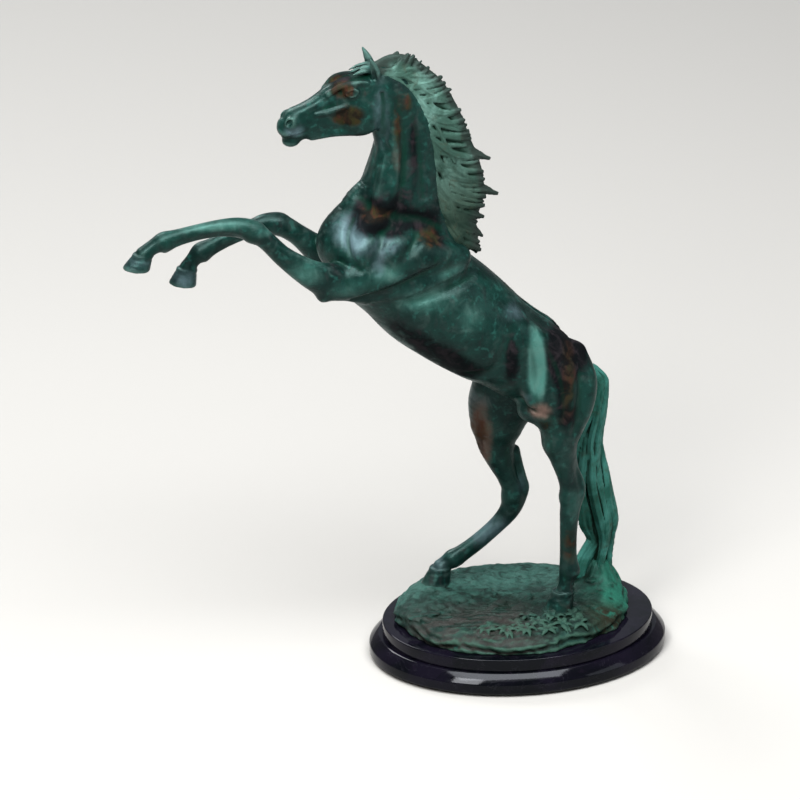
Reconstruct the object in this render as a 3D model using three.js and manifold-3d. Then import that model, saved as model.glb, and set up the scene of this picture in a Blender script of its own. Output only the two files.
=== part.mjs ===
// A rearing horse in patinated bronze, standing on a bronze ground and a two-tier oval marble base.
//
// The figure is a lost-wax bronze. It is cast as separate sections, which are welded and chased: a hollow
// torso, a hollow neck with the head, a mane, four solid legs and a solid tail. The ground is a hollow
// casting with two tapped bosses inside. A stud runs from each boss down through both marble slabs to a
// washer and a nut, which sit in a counterbore over the felt.
//
// Frame: millimetres, +Z up, the horse faces -X, its left side is towards -Y, and the origin is the
// centre of the felt's underside. Welded sections keep WELD_GAP between them.
import * as THREE from "three";
import { mergeVertices } from "three/addons/utils/BufferGeometryUtils.js";
import Module from "manifold-3d";

const wasm = await Module();
wasm.setup();

// ---- Driving dimensions -------------------------------------------------------------------------

const WELD_GAP = 0.3;
const TAIL_SOCKET_GAP = 1; // round the tail's foot, which is fluted
const CASTING_WALL = 4.5;

const BASE_LENGTH = 226; // the lower slab, along X
const BASE_WIDTH = 178; // the lower slab, along Y
const FELT_THICKNESS = 2;
const FELT_INSET = 5;
const LOWER_SLAB_HEIGHT = 15;
const LOWER_SLAB_ROUND = 8; // the shoulder under the top face
const LOWER_SLAB_CHAMFER = 1.5; // round the underside
const UPPER_SLAB_HEIGHT = 10;
const UPPER_SLAB_INSET = 10;
const UPPER_SLAB_ROUND = 4;
const UPPER_SLAB_CHAMFER = 1;
const ROUND_STEPS = 5;
const OVAL_SEGMENTS = 56;

const GROUND_LENGTH = 176;
const GROUND_WIDTH = 142;
const GROUND_CENTRE_X = -4;
const GROUND_SECTORS = 44;
const GROUND_WALL = 5;
const GROUND_LIP = 0.8; // the hollow underside reaches this share of the ground's outline
const GROUND_CEILING_SHARES = [0.2, 0.4, 0.6, 0.77]; // rings of the hollow, out to its upright wall
const GROUND_TOP_SHARES = [0.97, 0.9, 0.8, 0.7, 0.6, 0.5, 0.4, 0.28, 0.14];

const STUD_RADIUS = 4; // M8
const STUD_HOLE_RADIUS = 4.5;
const STUD_ENGAGEMENT = 10;
const BOSS_RADIUS = 8.5;
const COUNTERBORE_RADIUS = 11;
const COUNTERBORE_DEPTH = 9.6;
const WASHER_RADIUS = 9;
const WASHER_THICKNESS = 1.6;
const NUT_ACROSS_FLATS = 13;
const NUT_HEIGHT = 6.5;
const STUD_PLACES = { front: [-52, 22], rear: [62, 8] };
const BOSS_COVER = 2; // bronze left between a boss's top and the surface of the ground
const DRILL_OVERRUN = 1; // how far a hole's cutter passes each face

const LOWER_SLAB_Z = FELT_THICKNESS;
const UPPER_SLAB_Z = LOWER_SLAB_Z + LOWER_SLAB_HEIGHT;
const GROUND_Z = UPPER_SLAB_Z + UPPER_SLAB_HEIGHT;

// ---- The figure's stations ----------------------------------------------------------------------
// Each row is x, y, z of a section's centre, then its half depth in the XZ plane and its half width in Y.

const BARREL = [
  [38, 0, 224, 10, 10],
  [34, 0, 226, 22, 22],
  [19, 0, 230, 30, 30],
  [7, 0, 239, 34, 34],
  [-9, 0, 251.5, 35, 36],
  [-25, 0, 263, 38, 37],
  [-40, 0, 275.5, 40.5, 37],
  [-54.5, 0, 288, 42, 37],
  [-71, 0, 302, 43, 35.5],
  [-88, 0, 319, 41, 33],
  [-105, 0, 332, 38, 30],
  [-122, 0, 343, 31, 26],
  [-137, 0, 352, 20, 19],
];

const NECK = [
  [-99, 0, 330, 46, 26],
  [-101, 0, 352, 50, 27],
  [-97, 0, 374, 42, 23],
  [-91, 0, 392, 31, 19],
  [-89.5, 0, 410, 28, 17],
  [-89, 0, 428, 24.5, 15.5],
  [-92, 0, 448, 23, 14.5],
  [-99, 0, 468, 20, 13.5],
  [-108, 0, 482, 14, 11.5],
];

const HEAD = [
  [-108, 0, 478, 13, 10.5],
  [-117, 0, 470, 20, 13],
  [-129, 0, 464, 24, 14.5],
  [-142, 0, 458, 20.5, 13],
  [-154, 0, 453.5, 16.5, 10.5],
  [-166, 0, 450.5, 14.6, 9.4],
  [-177, 0, 448.5, 14, 10],
  [-185, 0, 447, 8.5, 7.5],
];

const LEFT_HAUNCH = [
  [26, -15, 248, 25, 17],
  [27, -19, 230, 27, 18.5],
  [27, -22.5, 208, 23, 17.5],
  [27, -24.5, 192, 18.5, 15],
  [25, -26, 178, 12.5, 12.5],
];

const LEFT_HIND_LEG = [
  [25.5, -26, 180, 13, 12.7],
  [28, -26.5, 165, 10, 10.5],
  [31.5, -26.5, 151, 8, 8.3],
  [34.5, -26.5, 140, 8.8, 7.8],
  [35, -26.5, 130, 9.5, 7.3],
  [33, -26.5, 116, 7.6, 6.5],
  [32, -26.5, 100, 6.9, 5.9],
  [32, -26.5, 84, 6.8, 5.8],
  [33, -26.5, 71, 7.8, 7],
  [31.5, -26.5, 62, 6.6, 6.5],
  [29.5, -26.5, 55, 7, 7.2],
];

const RIGHT_HAUNCH = [
  [28, 16, 247, 25, 17],
  [18, 20, 226, 31, 18],
  [4, 24, 206, 33, 17.5],
  [-5, 26, 188, 27, 15.5],
  [-9, 27, 172, 20, 13],
];

const RIGHT_HIND_LEG = [
  [-9, 27, 173, 20, 13],
  [-9, 27.5, 157, 15.5, 11],
  [-5, 28, 142, 11.5, 9],
  [0, 28, 128, 8.6, 7.8],
  [5, 28, 116, 9.2, 7.4],
  [7, 28, 106.5, 10.6, 7.8],
  [1, 28.5, 97.5, 9, 7.2],
  [-9, 29, 88, 6.8, 6],
  [-23, 29.5, 77.5, 6, 5.5],
  [-35, 30, 69, 6.3, 5.8],
  [-42.5, 30.5, 64, 7.4, 7],
  [-47.5, 31, 60.5, 6.4, 6.4],
  [-51, 31, 57.5, 7, 7.2],
];

const LEFT_FORELEG = [
  [-122, -18, 324, 20, 13],
  [-137, -22, 327, 15, 13],
  [-151, -24.5, 331, 15.5, 12.5],
  [-163.5, -25, 337, 12, 11],
  [-177, -25, 346.5, 9.6, 9.3],
  [-189.5, -25, 357.5, 8, 8],
  [-201, -25, 371, 7.8, 7.8],
  [-212, -25, 380.5, 9.2, 8.6],
  [-223, -25, 385, 7.6, 7.4],
  [-237, -25, 386, 6, 5.7],
  [-253, -25, 384.5, 5.7, 5.3],
  [-268, -25, 382, 6, 5.5],
  [-280, -25, 379, 7.5, 6.9],
  [-289.5, -25, 374.5, 6, 6],
  [-295, -25, 370, 6.8, 7],
];

const RIGHT_FORELEG = [
  [-110, 16, 318, 20, 13],
  [-126, 20, 320, 15, 13],
  [-140, 22, 327, 13.5, 11.5],
  [-152.5, 22, 339, 10.5, 10],
  [-165.5, 22, 351, 8.3, 8.4],
  [-179, 22, 360.5, 9, 8.5],
  [-190, 22, 363, 7.8, 7.5],
  [-204, 22, 359.5, 5.9, 5.7],
  [-218, 22, 355, 5.6, 5.3],
  [-230, 22, 350, 5.9, 5.6],
  [-239.5, 22, 345, 7.4, 6.9],
  [-246, 22, 338.5, 5.9, 6],
  [-249.5, 22, 333, 6.8, 7],
];

const TAIL = [
  [40, 0, 234, 7, 7],
  [53, 1, 229, 8, 8],
  [61, 3, 219, 9.5, 10],
  [60.5, 5, 206, 10.5, 12],
  [57.5, 7, 185, 12, 13.5],
  [55, 9, 165, 13, 14],
  [55.5, 10, 148, 13.5, 14],
  [58.5, 11, 130, 14, 13.5],
  [62.5, 12, 110, 14, 12.5],
  [66, 13, 92, 14, 11.5],
  [68.5, 14, 78, 10.5, 10],
  [68, 14, 64, 9, 9],
  [67, 14, 52, 9, 9.5],
];

// Each hoof: the centre of its coronet and of its sole, the sole's half length and half width, and the
// way the toe points.
const LEVEL_TOE = [-1, 0, 0];
const RAISED_TOE = [-1, 0, 0.1];
const HOOVES = {
  left_hind_leg: { coronet: [29.5, -26.5, 54], sole: [25, -26.5, 39], half: [13, 10.5], toe: LEVEL_TOE },
  right_hind_leg: { coronet: [-51, 31, 57.5], sole: [-55, 31, 44.4], half: [12.5, 10.5], toe: LEVEL_TOE },
  left_foreleg: { coronet: [-295, -25, 370], sole: [-300, -25, 359], half: [11, 9], toe: RAISED_TOE },
  right_foreleg: { coronet: [-249.5, 22, 332], sole: [-252.5, 22, 320], half: [11.5, 9.2], toe: RAISED_TOE },
};
const HEEL_SHARE = 0.82; // the heel's length over the toe's
const HOOF_SIDES = 14;
// A hoof's outline at each share of its height, as a share of the sole's size.
const HOOF_OUTLINES = [
  [0, 1],
  [0.85, 0.78],
  [1, 0.62],
];

const EARS = {
  left: { root: [-112, -6.5, 484], tip: [-121, -12, 507.5] },
  right: { root: [-112, 6.5, 484], tip: [-121, 12, 507.5] },
};

// Along an ear from root to tip: the share of its length, how far it bows back, and its half sizes.
const EAR_STATIONS = [
  [0, 0, 4, 3.4],
  [0.35, 1.5, 4, 3.4],
  [0.7, 1.2, 2.6, 2.2],
  [1, 0, 0.8, 0.8],
];
const CHEEKS = [
  { centre: [-124, -9, 455], radii: [17, 7, 15] },
  { centre: [-124, 9, 455], radii: [17, 7, 15] },
];
const FORELOCK = { centre: [-126, 0, 489], radii: [12, 6, 6.5], turn: -0.25 };

// The mane's locks: root x, z on the crest, then the tip's x, y, z and the root's half depth.
const MANE_LOCKS = [
  [-110, 486, -98, -2, 498, 8],
  [-101, 482, -84, 1, 499, 10],
  [-92, 473, -68, -2, 489, 11],
  [-84, 461, -55, 2, 474, 12],
  [-77, 447, -47, -2, 458, 12],
  [-71, 432, -41, 2, 440, 12],
  [-67, 417, -25, -1, 412, 11],
  [-64, 402, -27, 2, 399, 11],
  [-61, 389, -17, -1, 384, 11],
  [-58, 376, -25, 2, 370, 11],
  [-55, 363, -27, -2, 352, 11],
  [-50, 350, -28, 1, 335, 10],
  [-45, 342, -31, -1, 329, 8],
];
const MANE_HALF_WIDTH = 9;
const LOCK_SAG = 4;
// Along a lock from root to tip: the share of its length and its size as a share of the root's.
const LOCK_STATIONS = [
  [0, 0.9],
  [0.35, 1],
  [0.65, 0.85],
  [0.88, 0.55],
  [1, 0.15],
];

// How many sides each part of the figure has.
const BARREL_SIDES = 22;
const TAIL_SIDES = 20;
const NECK_SIDES = 18;
const HEAD_SIDES = 16;
const HAUNCH_SIDES = 16;
const LEG_SIDES = 12;
const LOCK_SIDES = 10;
const EAR_SIDES = 8;
const TAIL_FLUTES = { flutes: 5, fluteDepth: 0.06 };
const POLE_SHARE = 0.35; // a section's rounded end stands out by this share of its half depth

// ---- Shape helpers ------------------------------------------------------------------------------

function solidOf(geometry) {
  const bare = geometry.clone();
  bare.deleteAttribute("normal");
  bare.deleteAttribute("uv");
  const merged = mergeVertices(bare, 1e-4);
  return new wasm.Manifold(
    new wasm.Mesh({
      numProp: 3,
      vertProperties: new Float32Array(merged.attributes.position.array),
      triVerts: new Uint32Array(merged.index.array),
    }),
  );
}

function geometryOf(solid) {
  const mesh = solid.getMesh();
  const indexed = new THREE.BufferGeometry();
  indexed.setAttribute("position", new THREE.BufferAttribute(mesh.vertProperties, 3));
  indexed.setIndex(new THREE.BufferAttribute(mesh.triVerts, 1));
  const faceted = indexed.toNonIndexed();
  faceted.computeVertexNormals();
  return faceted;
}

function join(solids) {
  return solids.reduce((whole, piece) => whole.add(piece));
}

// A closed skin over rings of points, all with the same count, with a pole at each end.
function skinGeometry(rings, firstPole, lastPole) {
  const sides = rings[0].length;
  const points = [firstPole, ...rings.flat(), lastPole];
  const at = (ring, side) => 1 + ring * sides + (side % sides);
  const last = points.length - 1;
  const faces = [];
  for (let side = 0; side < sides; side++) {
    faces.push(0, at(0, side + 1), at(0, side));
    faces.push(last, at(rings.length - 1, side), at(rings.length - 1, side + 1));
    for (let ring = 0; ring < rings.length - 1; ring++) {
      faces.push(at(ring, side), at(ring, side + 1), at(ring + 1, side + 1));
      faces.push(at(ring, side), at(ring + 1, side + 1), at(ring + 1, side));
    }
  }
  const geometry = new THREE.BufferGeometry().setFromPoints(points);
  geometry.setIndex(faces);
  return geometry;
}

// An oval section swept through the stations. `grow` makes it fatter all round, and `flutes` adds ridges.
function loft(stations, { sides, perStation = 2, grow = 0, flutes = 0, fluteDepth = 0 }) {
  const centres = new THREE.CatmullRomCurve3(stations.map(([x, y, z]) => new THREE.Vector3(x, y, z)));
  const sizes = new THREE.CatmullRomCurve3(stations.map(([, , , d, w]) => new THREE.Vector3(d, w, 0)));
  const ringCount = (stations.length - 1) * perStation + 1;
  const rings = [];
  const ends = [];
  for (let i = 0; i < ringCount; i++) {
    const u = i / (ringCount - 1);
    const centre = centres.getPoint(u);
    const size = sizes.getPoint(u);
    const along = centres.getTangent(u);
    const across = new THREE.Vector3(0, 1, 0).addScaledVector(along, -along.y).normalize();
    const deep = along.clone().cross(across);
    const ring = [];
    for (let side = 0; side < sides; side++) {
      const angle = (side / sides) * 2 * Math.PI;
      const ridge = 1 + fluteDepth * Math.cos(flutes * angle + 4 * u);
      ring.push(
        centre
          .clone()
          .addScaledVector(across, (size.y * ridge + grow) * Math.cos(angle))
          .addScaledVector(deep, (size.x * ridge + grow) * Math.sin(angle)),
      );
    }
    rings.push(ring);
    const end = POLE_SHARE * size.x + grow;
    if (i === 0) ends.push(centre.clone().addScaledVector(along, -end));
    if (i === ringCount - 1) ends.push(centre.clone().addScaledVector(along, end));
  }
  return solidOf(skinGeometry(rings, ends[0], ends[1]));
}

// The same loft with its sections thinner by `wall`, for the inside of a hollow casting.
function core(stations, wall) {
  return loft(stations, { grow: -wall, sides: LEG_SIDES, perStation: 1 });
}

function ball({ centre, radii, turn = 0 }, grow = 0) {
  const geometry = new THREE.SphereGeometry(1, 14, 10);
  geometry.scale(...radii.map((radius) => radius + grow));
  geometry.rotateY(turn);
  geometry.translate(...centre);
  return solidOf(geometry);
}

function post(radius, height, x, y, z, sides = 24) {
  const geometry = new THREE.CylinderGeometry(radius, radius, height, sides);
  geometry.rotateX(Math.PI / 2);
  geometry.translate(x, y, z + height / 2);
  return solidOf(geometry);
}

// The part of a solid on the far side of a seam, `gap` clear of it.
function beyond(solid, { point, normal }, gap) {
  const out = new THREE.Vector3(...normal).normalize();
  return solid.trimByPlane(out.toArray(), out.dot(new THREE.Vector3(...point)) + gap);
}

function before(solid, { point, normal }) {
  return beyond(solid, { point, normal: normal.map((part) => -part) }, 0);
}

// ---- Marble base and felt -----------------------------------------------------------------------

const OVAL_SHARE = BASE_WIDTH / BASE_LENGTH;

// A profile of radius (the half length) and height turned into an oval slab.
function ovalTurned(profile) {
  const geometry = new THREE.LatheGeometry(
    profile.map(([radius, z]) => new THREE.Vector2(radius, z)),
    OVAL_SEGMENTS,
  );
  geometry.rotateX(Math.PI / 2);
  geometry.scale(1, OVAL_SHARE, 1);
  return solidOf(geometry);
}

// Points on a quarter round from the upright side up to the top face.
function shoulder(outerRadius, topZ, round) {
  const points = [];
  for (let i = 0; i <= ROUND_STEPS; i++) {
    const angle = (i / ROUND_STEPS) * (Math.PI / 2);
    points.push([outerRadius - round * (1 - Math.cos(angle)), topZ - round * (1 - Math.sin(angle))]);
  }
  return points;
}

function slab(outerRadius, bottomZ, height, round, chamfer) {
  const topZ = bottomZ + height;
  return ovalTurned([
    [0, bottomZ],
    [outerRadius - chamfer, bottomZ],
    [outerRadius, bottomZ + chamfer],
    ...shoulder(outerRadius, topZ, round),
    [0, topZ],
  ]);
}

// The solid with a round hole at each stud, from an overrun under `bottomZ` up to `topZ`.
function withStudHoles(solid, radius, bottomZ, topZ) {
  const height = topZ - bottomZ + DRILL_OVERRUN;
  return Object.values(STUD_PLACES).reduce(
    (rest, [x, y]) => rest.subtract(post(radius, height, x, y, bottomZ - DRILL_OVERRUN)),
    solid,
  );
}

function felt() {
  const radius = BASE_LENGTH / 2 - FELT_INSET;
  return ovalTurned([
    [0, 0],
    [radius, 0],
    [radius, FELT_THICKNESS],
    [0, FELT_THICKNESS],
  ]);
}

function lowerSlab() {
  const radius = BASE_LENGTH / 2;
  const whole = slab(radius, LOWER_SLAB_Z, LOWER_SLAB_HEIGHT, LOWER_SLAB_ROUND, LOWER_SLAB_CHAMFER);
  const drilled = withStudHoles(whole, STUD_HOLE_RADIUS, LOWER_SLAB_Z, UPPER_SLAB_Z + DRILL_OVERRUN);
  return withStudHoles(drilled, COUNTERBORE_RADIUS, LOWER_SLAB_Z, LOWER_SLAB_Z + COUNTERBORE_DEPTH);
}

function upperSlab() {
  const radius = BASE_LENGTH / 2 - UPPER_SLAB_INSET;
  const whole = slab(radius, UPPER_SLAB_Z, UPPER_SLAB_HEIGHT, UPPER_SLAB_ROUND, UPPER_SLAB_CHAMFER);
  return withStudHoles(whole, STUD_HOLE_RADIUS, UPPER_SLAB_Z, GROUND_Z + DRILL_OVERRUN);
}

// ---- Fasteners ----------------------------------------------------------------------------------

const WASHER_Z = LOWER_SLAB_Z + COUNTERBORE_DEPTH - WASHER_THICKNESS;
const NUT_Z = WASHER_Z - NUT_HEIGHT;
const STUD_TOP_Z = GROUND_Z + STUD_ENGAGEMENT;

function stud([x, y]) {
  return post(STUD_RADIUS, STUD_TOP_Z - NUT_Z, x, y, NUT_Z);
}

function washer([x, y]) {
  const height = WASHER_THICKNESS + 2 * DRILL_OVERRUN;
  const bore = post(STUD_HOLE_RADIUS, height, x, y, WASHER_Z - DRILL_OVERRUN);
  return post(WASHER_RADIUS, WASHER_THICKNESS, x, y, WASHER_Z).subtract(bore);
}

function nut([x, y]) {
  const cornerRadius = NUT_ACROSS_FLATS / Math.sqrt(3);
  const height = NUT_HEIGHT + 2 * DRILL_OVERRUN;
  const bore = post(STUD_RADIUS + WELD_GAP, height, x, y, NUT_Z - DRILL_OVERRUN);
  return post(cornerRadius, NUT_HEIGHT, x, y, NUT_Z, 6).subtract(bore);
}

// ---- Bronze ground ------------------------------------------------------------------------------

// Mounds on the ground: x, y, height and spread.
const MOUNDS = [
  [-60, 28, 6, 30], // under the right hind hoof
  [67, 12, 18, 21], // under the tail
  [40, -25, 2, 24], // under the left hind hoof
];
const GROUND_RIM_RISE = 7;
const GROUND_BANK_RISE = 4.2; // the upright part of the rim, under its round
const GROUND_CROWN = 6;
const RIPPLE = { height: 0.7, alongX: 0.21, alongY: 0.17, start: 1.3 };

function groundHeight(x, y) {
  const out = Math.hypot((x - GROUND_CENTRE_X) / (GROUND_LENGTH / 2), y / (GROUND_WIDTH / 2));
  const rim = Math.sqrt(Math.max(0, 1 - out ** 6));
  const ripple = RIPPLE.height * Math.sin(x * RIPPLE.alongX + RIPPLE.start) * Math.cos(y * RIPPLE.alongY);
  const mounds = MOUNDS.map(
    ([mx, my, height, spread]) => height * Math.exp(-((x - mx) ** 2 + (y - my) ** 2) / (spread * spread)),
  );
  const rise = mounds.reduce((sum, height) => sum + height, GROUND_CROWN + ripple);
  return GROUND_Z + GROUND_RIM_RISE + rim * rise;
}

function groundOutline(angle) {
  return 1 + 0.022 * Math.sin(3 * angle + 0.6) + 0.015 * Math.sin(7 * angle);
}

function groundCasting(sockets) {
  const ringAt = (share, heightOf) =>
    Array.from({ length: GROUND_SECTORS }, (_, sector) => {
      const angle = (sector / GROUND_SECTORS) * 2 * Math.PI;
      const reach = share * groundOutline(angle);
      const x = GROUND_CENTRE_X + (GROUND_LENGTH / 2) * reach * Math.cos(angle);
      const y = (GROUND_WIDTH / 2) * reach * Math.sin(angle);
      return new THREE.Vector3(x, y, heightOf(x, y));
    });
  const floor = () => GROUND_Z;
  const ceiling = (x, y) => groundHeight(x, y) - GROUND_WALL;
  const bank = () => GROUND_Z + GROUND_BANK_RISE;
  const rings = [
    ...GROUND_CEILING_SHARES.map((share) => ringAt(share, ceiling)),
    ringAt(GROUND_LIP, floor),
    ringAt(1, floor),
    ringAt(1, bank),
    ...GROUND_TOP_SHARES.map((share) => ringAt(share, groundHeight)),
  ];
  const poles = [ceiling, groundHeight].map(
    (heightOf) => new THREE.Vector3(GROUND_CENTRE_X, 0, heightOf(GROUND_CENTRE_X, 0)),
  );
  const shell = solidOf(skinGeometry(rings, poles[0], poles[1]));
  const bosses = Object.values(STUD_PLACES).map(([x, y]) =>
    post(BOSS_RADIUS, groundHeight(x, y) - BOSS_COVER - GROUND_Z, x, y, GROUND_Z, 16),
  );
  const bossed = join([shell, ...bosses]);
  const tapped = withStudHoles(bossed, STUD_RADIUS + WELD_GAP, GROUND_Z, STUD_TOP_Z + WELD_GAP);
  return sockets.reduce((rest, socket) => rest.subtract(socket), tapped);
}

// ---- The figure ---------------------------------------------------------------------------------

function hoof({ coronet, sole, half, toe }, grow = 0) {
  const forward = new THREE.Vector3(...toe).normalize();
  const across = new THREE.Vector3(0, 1, 0);
  const up = forward.clone().cross(across).negate();
  const lift = new THREE.Vector3(...coronet);
  const foot = new THREE.Vector3(...sole).addScaledVector(up, -grow);
  const ringAt = ([height, share]) => {
    const centre = foot.clone().lerp(lift, height);
    return Array.from({ length: HOOF_SIDES }, (_, side) => {
      const angle = (-side / HOOF_SIDES) * 2 * Math.PI;
      const reach = Math.cos(angle) > 0 ? 1 : HEEL_SHARE;
      return centre
        .clone()
        .addScaledVector(forward, (half[0] * share + grow) * reach * Math.cos(angle))
        .addScaledVector(across, (half[1] * share + grow) * Math.sin(angle));
    });
  };
  return solidOf(skinGeometry(HOOF_OUTLINES.map(ringAt), foot, lift.clone().add(up)));
}

function ear({ root, tip }, grow) {
  const stations = EAR_STATIONS.map(([share, bow, depth, width]) => {
    const [x, y, z] = root.map((from, axis) => from + (tip[axis] - from) * share);
    return [x + bow, y, z, depth, width];
  });
  return loft(stations, { sides: EAR_SIDES, perStation: 1, grow });
}

// The seams where the sections are welded: a point on each, and the way out of the torso.
const NECK_SEAM = { point: [-97, 0, 358], normal: [0.25, 0, 0.97] };

const LIMBS = {
  left_foreleg: { stations: LEFT_FORELEG, seam: { point: [-167, -25, 340], normal: [-0.8, 0, 0.6] } },
  right_foreleg: { stations: RIGHT_FORELEG, seam: { point: [-163, 22, 348.5], normal: [-0.74, 0, 0.67] } },
  left_hind_leg: { stations: LEFT_HIND_LEG, seam: { point: [26, -26, 177], normal: [0.2, 0, -0.98] } },
  right_hind_leg: { stations: RIGHT_HIND_LEG, seam: { point: [-9, 27, 169], normal: [-0.02, 0, -1] } },
  tail_casting: { stations: TAIL, seam: { point: [55, 1, 231], normal: [0.75, 0.05, -0.6] } },
};

function limbLoft(name, grow = 0) {
  const detail = name === "tail_casting" ? { sides: TAIL_SIDES, ...TAIL_FLUTES } : { sides: LEG_SIDES };
  return loft(LIMBS[name].stations, { ...detail, grow });
}

function limb(name) {
  const shaft = beyond(limbLoft(name), LIMBS[name].seam, WELD_GAP);
  return HOOVES[name] ? shaft.add(hoof(HOOVES[name])) : shaft;
}

// The room a limb takes in the torso: the limb itself, fatter by the weld gap.
function limbSocket(name) {
  return beyond(limbLoft(name, WELD_GAP), LIMBS[name].seam, 0);
}

const CHEST_MUSCLES = [
  { centre: [-136, -11, 349], radii: [17, 12, 18], turn: 0 },
  { centre: [-136, 11, 349], radii: [17, 12, 18], turn: 0 },
  { centre: [-114, -20, 330], radii: [26, 13, 18], turn: 0.7 },
  { centre: [-112, 20, 330], radii: [26, 13, 18], turn: 0.7 },
];

function neckAndHead(grow = 0) {
  return join([
    loft(NECK, { sides: NECK_SIDES, grow }),
    loft(HEAD, { sides: HEAD_SIDES, grow }),
    ...CHEEKS.map((cheek) => ball(cheek, grow)),
    ball(FORELOCK, grow),
    ...Object.values(EARS).map((place) => ear(place, grow)),
  ]);
}

function torsoCasting() {
  const limbNames = Object.keys(LIMBS);
  const outside = join([
    loft(BARREL, { sides: BARREL_SIDES }),
    loft(NECK, { sides: NECK_SIDES }),
    loft(LEFT_HAUNCH, { sides: HAUNCH_SIDES }),
    loft(RIGHT_HAUNCH, { sides: HAUNCH_SIDES }),
    ...CHEST_MUSCLES.map((muscle) => ball(muscle)),
    ...limbNames.map((name) => before(limbLoft(name), LIMBS[name].seam)),
  ]);
  const hollow = join([
    core(BARREL.slice(1, -1), CASTING_WALL),
    core(NECK.slice(0, 4), CASTING_WALL),
    core(LEFT_HAUNCH.slice(0, 3), CASTING_WALL),
    core(RIGHT_HAUNCH.slice(0, 3), CASTING_WALL),
  ]);
  return before(outside, NECK_SEAM).subtract(join([hollow, ...limbNames.map(limbSocket)]));
}

function headCasting() {
  return beyond(neckAndHead(), NECK_SEAM, WELD_GAP).subtract(core(NECK.slice(0, 7), CASTING_WALL));
}

function lock([rootX, rootZ, tipX, tipY, tipZ, halfDepth]) {
  const stations = LOCK_STATIONS.map(([share, size]) => [
    rootX + (tipX - rootX) * share,
    tipY * share,
    rootZ + (tipZ - rootZ) * share + LOCK_SAG * Math.sin(share * Math.PI),
    halfDepth * size,
    MANE_HALF_WIDTH * size,
  ]);
  return loft(stations, { sides: LOCK_SIDES, perStation: 1 });
}

function mane() {
  const locks = join(MANE_LOCKS.map(lock));
  const neck = join([neckAndHead(WELD_GAP), loft(BARREL, { sides: BARREL_SIDES, grow: WELD_GAP })]);
  const pieces = locks.subtract(neck).decompose();
  return pieces.reduce((largest, piece) => (piece.volume() > largest.volume() ? piece : largest));
}

// ---- Assembly -----------------------------------------------------------------------------------

const BRONZE = { color: 0x24423b, roughness: 0.45, metalness: 0.7 };
const GREEN_BRONZE = { color: 0x3f6f5c, roughness: 0.6, metalness: 0.5 };
const MARBLE = { color: 0x0d0c12, roughness: 0.12, metalness: 0 };
const STEEL = { color: 0x9a9c9e, roughness: 0.35, metalness: 1 };
const FELT = { color: 0x1d3a26, roughness: 1, metalness: 0 };

const statue = new THREE.Group();

function add(name, solid, look, parent = statue) {
  const mesh = new THREE.Mesh(geometryOf(solid), new THREE.MeshStandardMaterial(look));
  mesh.name = name;
  parent.add(mesh);
}

const base = new THREE.Group();
statue.add(base);
add("felt_pad", felt(), FELT, base);
add("lower_marble_slab", lowerSlab(), MARBLE, base);
add("upper_marble_slab", upperSlab(), MARBLE, base);
for (const [place, at] of Object.entries(STUD_PLACES)) {
  add(`${place}_stud`, stud(at), STEEL, base);
  add(`${place}_washer`, washer(at), STEEL, base);
  add(`${place}_nut`, nut(at), STEEL, base);
}

const figure = new THREE.Group();
statue.add(figure);
const sockets = [
  hoof(HOOVES.left_hind_leg, WELD_GAP),
  hoof(HOOVES.right_hind_leg, WELD_GAP),
  loft(TAIL.slice(-5), { sides: TAIL_SIDES, grow: TAIL_SOCKET_GAP }),
];
add("ground_casting", groundCasting(sockets), GREEN_BRONZE, figure);
add("torso_casting", torsoCasting(), BRONZE, figure);
add("neck_and_head_casting", headCasting(), BRONZE, figure);
add("mane_casting", mane(), GREEN_BRONZE, figure);
for (const name of Object.keys(LIMBS)) {
  add(name, limb(name), name === "tail_casting" ? GREEN_BRONZE : BRONZE, figure);
}

export default statue;
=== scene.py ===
"""A rearing horse in patinated bronze on a marble base.

The figure is modelled as one signed distance field in the part's frame, in millimetres. Muscles, bones
and locks of hair are ellipsoids and oval sweeps, blended as a sculptor blends clay. Each cast section is
meshed from the same field and cut at its seam, so that neighbouring sections meet exactly.
"""
import math

import bmesh
import bpy
import numpy as np
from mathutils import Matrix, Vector


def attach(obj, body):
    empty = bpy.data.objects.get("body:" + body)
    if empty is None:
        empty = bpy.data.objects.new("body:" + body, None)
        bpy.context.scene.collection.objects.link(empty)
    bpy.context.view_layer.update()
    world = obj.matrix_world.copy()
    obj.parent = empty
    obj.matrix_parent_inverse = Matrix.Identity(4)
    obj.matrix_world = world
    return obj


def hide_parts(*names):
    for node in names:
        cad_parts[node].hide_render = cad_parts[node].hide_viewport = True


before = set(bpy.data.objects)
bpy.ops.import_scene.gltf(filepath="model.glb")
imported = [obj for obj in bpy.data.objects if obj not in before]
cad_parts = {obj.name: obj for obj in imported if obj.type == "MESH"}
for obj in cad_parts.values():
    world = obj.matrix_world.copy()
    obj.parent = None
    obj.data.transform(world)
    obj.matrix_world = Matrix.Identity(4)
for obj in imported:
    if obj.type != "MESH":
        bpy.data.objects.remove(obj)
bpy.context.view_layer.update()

MM = 0.001
FAR = 50.0
SIDES = (-1, 1)

# ---------------------------------------------------------------- distance fields


def norm(v):
    v = np.asarray(v, float)
    return v / np.linalg.norm(v)


def spline(stations, steps):
    """Catmull-Rom through the rows of stations, with this many samples to a span."""
    p = np.asarray(stations, float)
    p = np.vstack([2 * p[0] - p[1], p, 2 * p[-1] - p[-2]])
    t = np.linspace(0, 1, steps, endpoint=False)[:, None]
    rows = []
    for a, b, c, d in zip(p, p[1:], p[2:], p[3:]):
        square = (2 * a - 5 * b + 4 * c - d) * t**2
        cube = (3 * b - a - 3 * c + d) * t**3
        rows.append(0.5 * (2 * b + (c - a) * t + square + cube))
    rows.append(p[-2][None])
    return np.vstack(rows)


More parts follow.
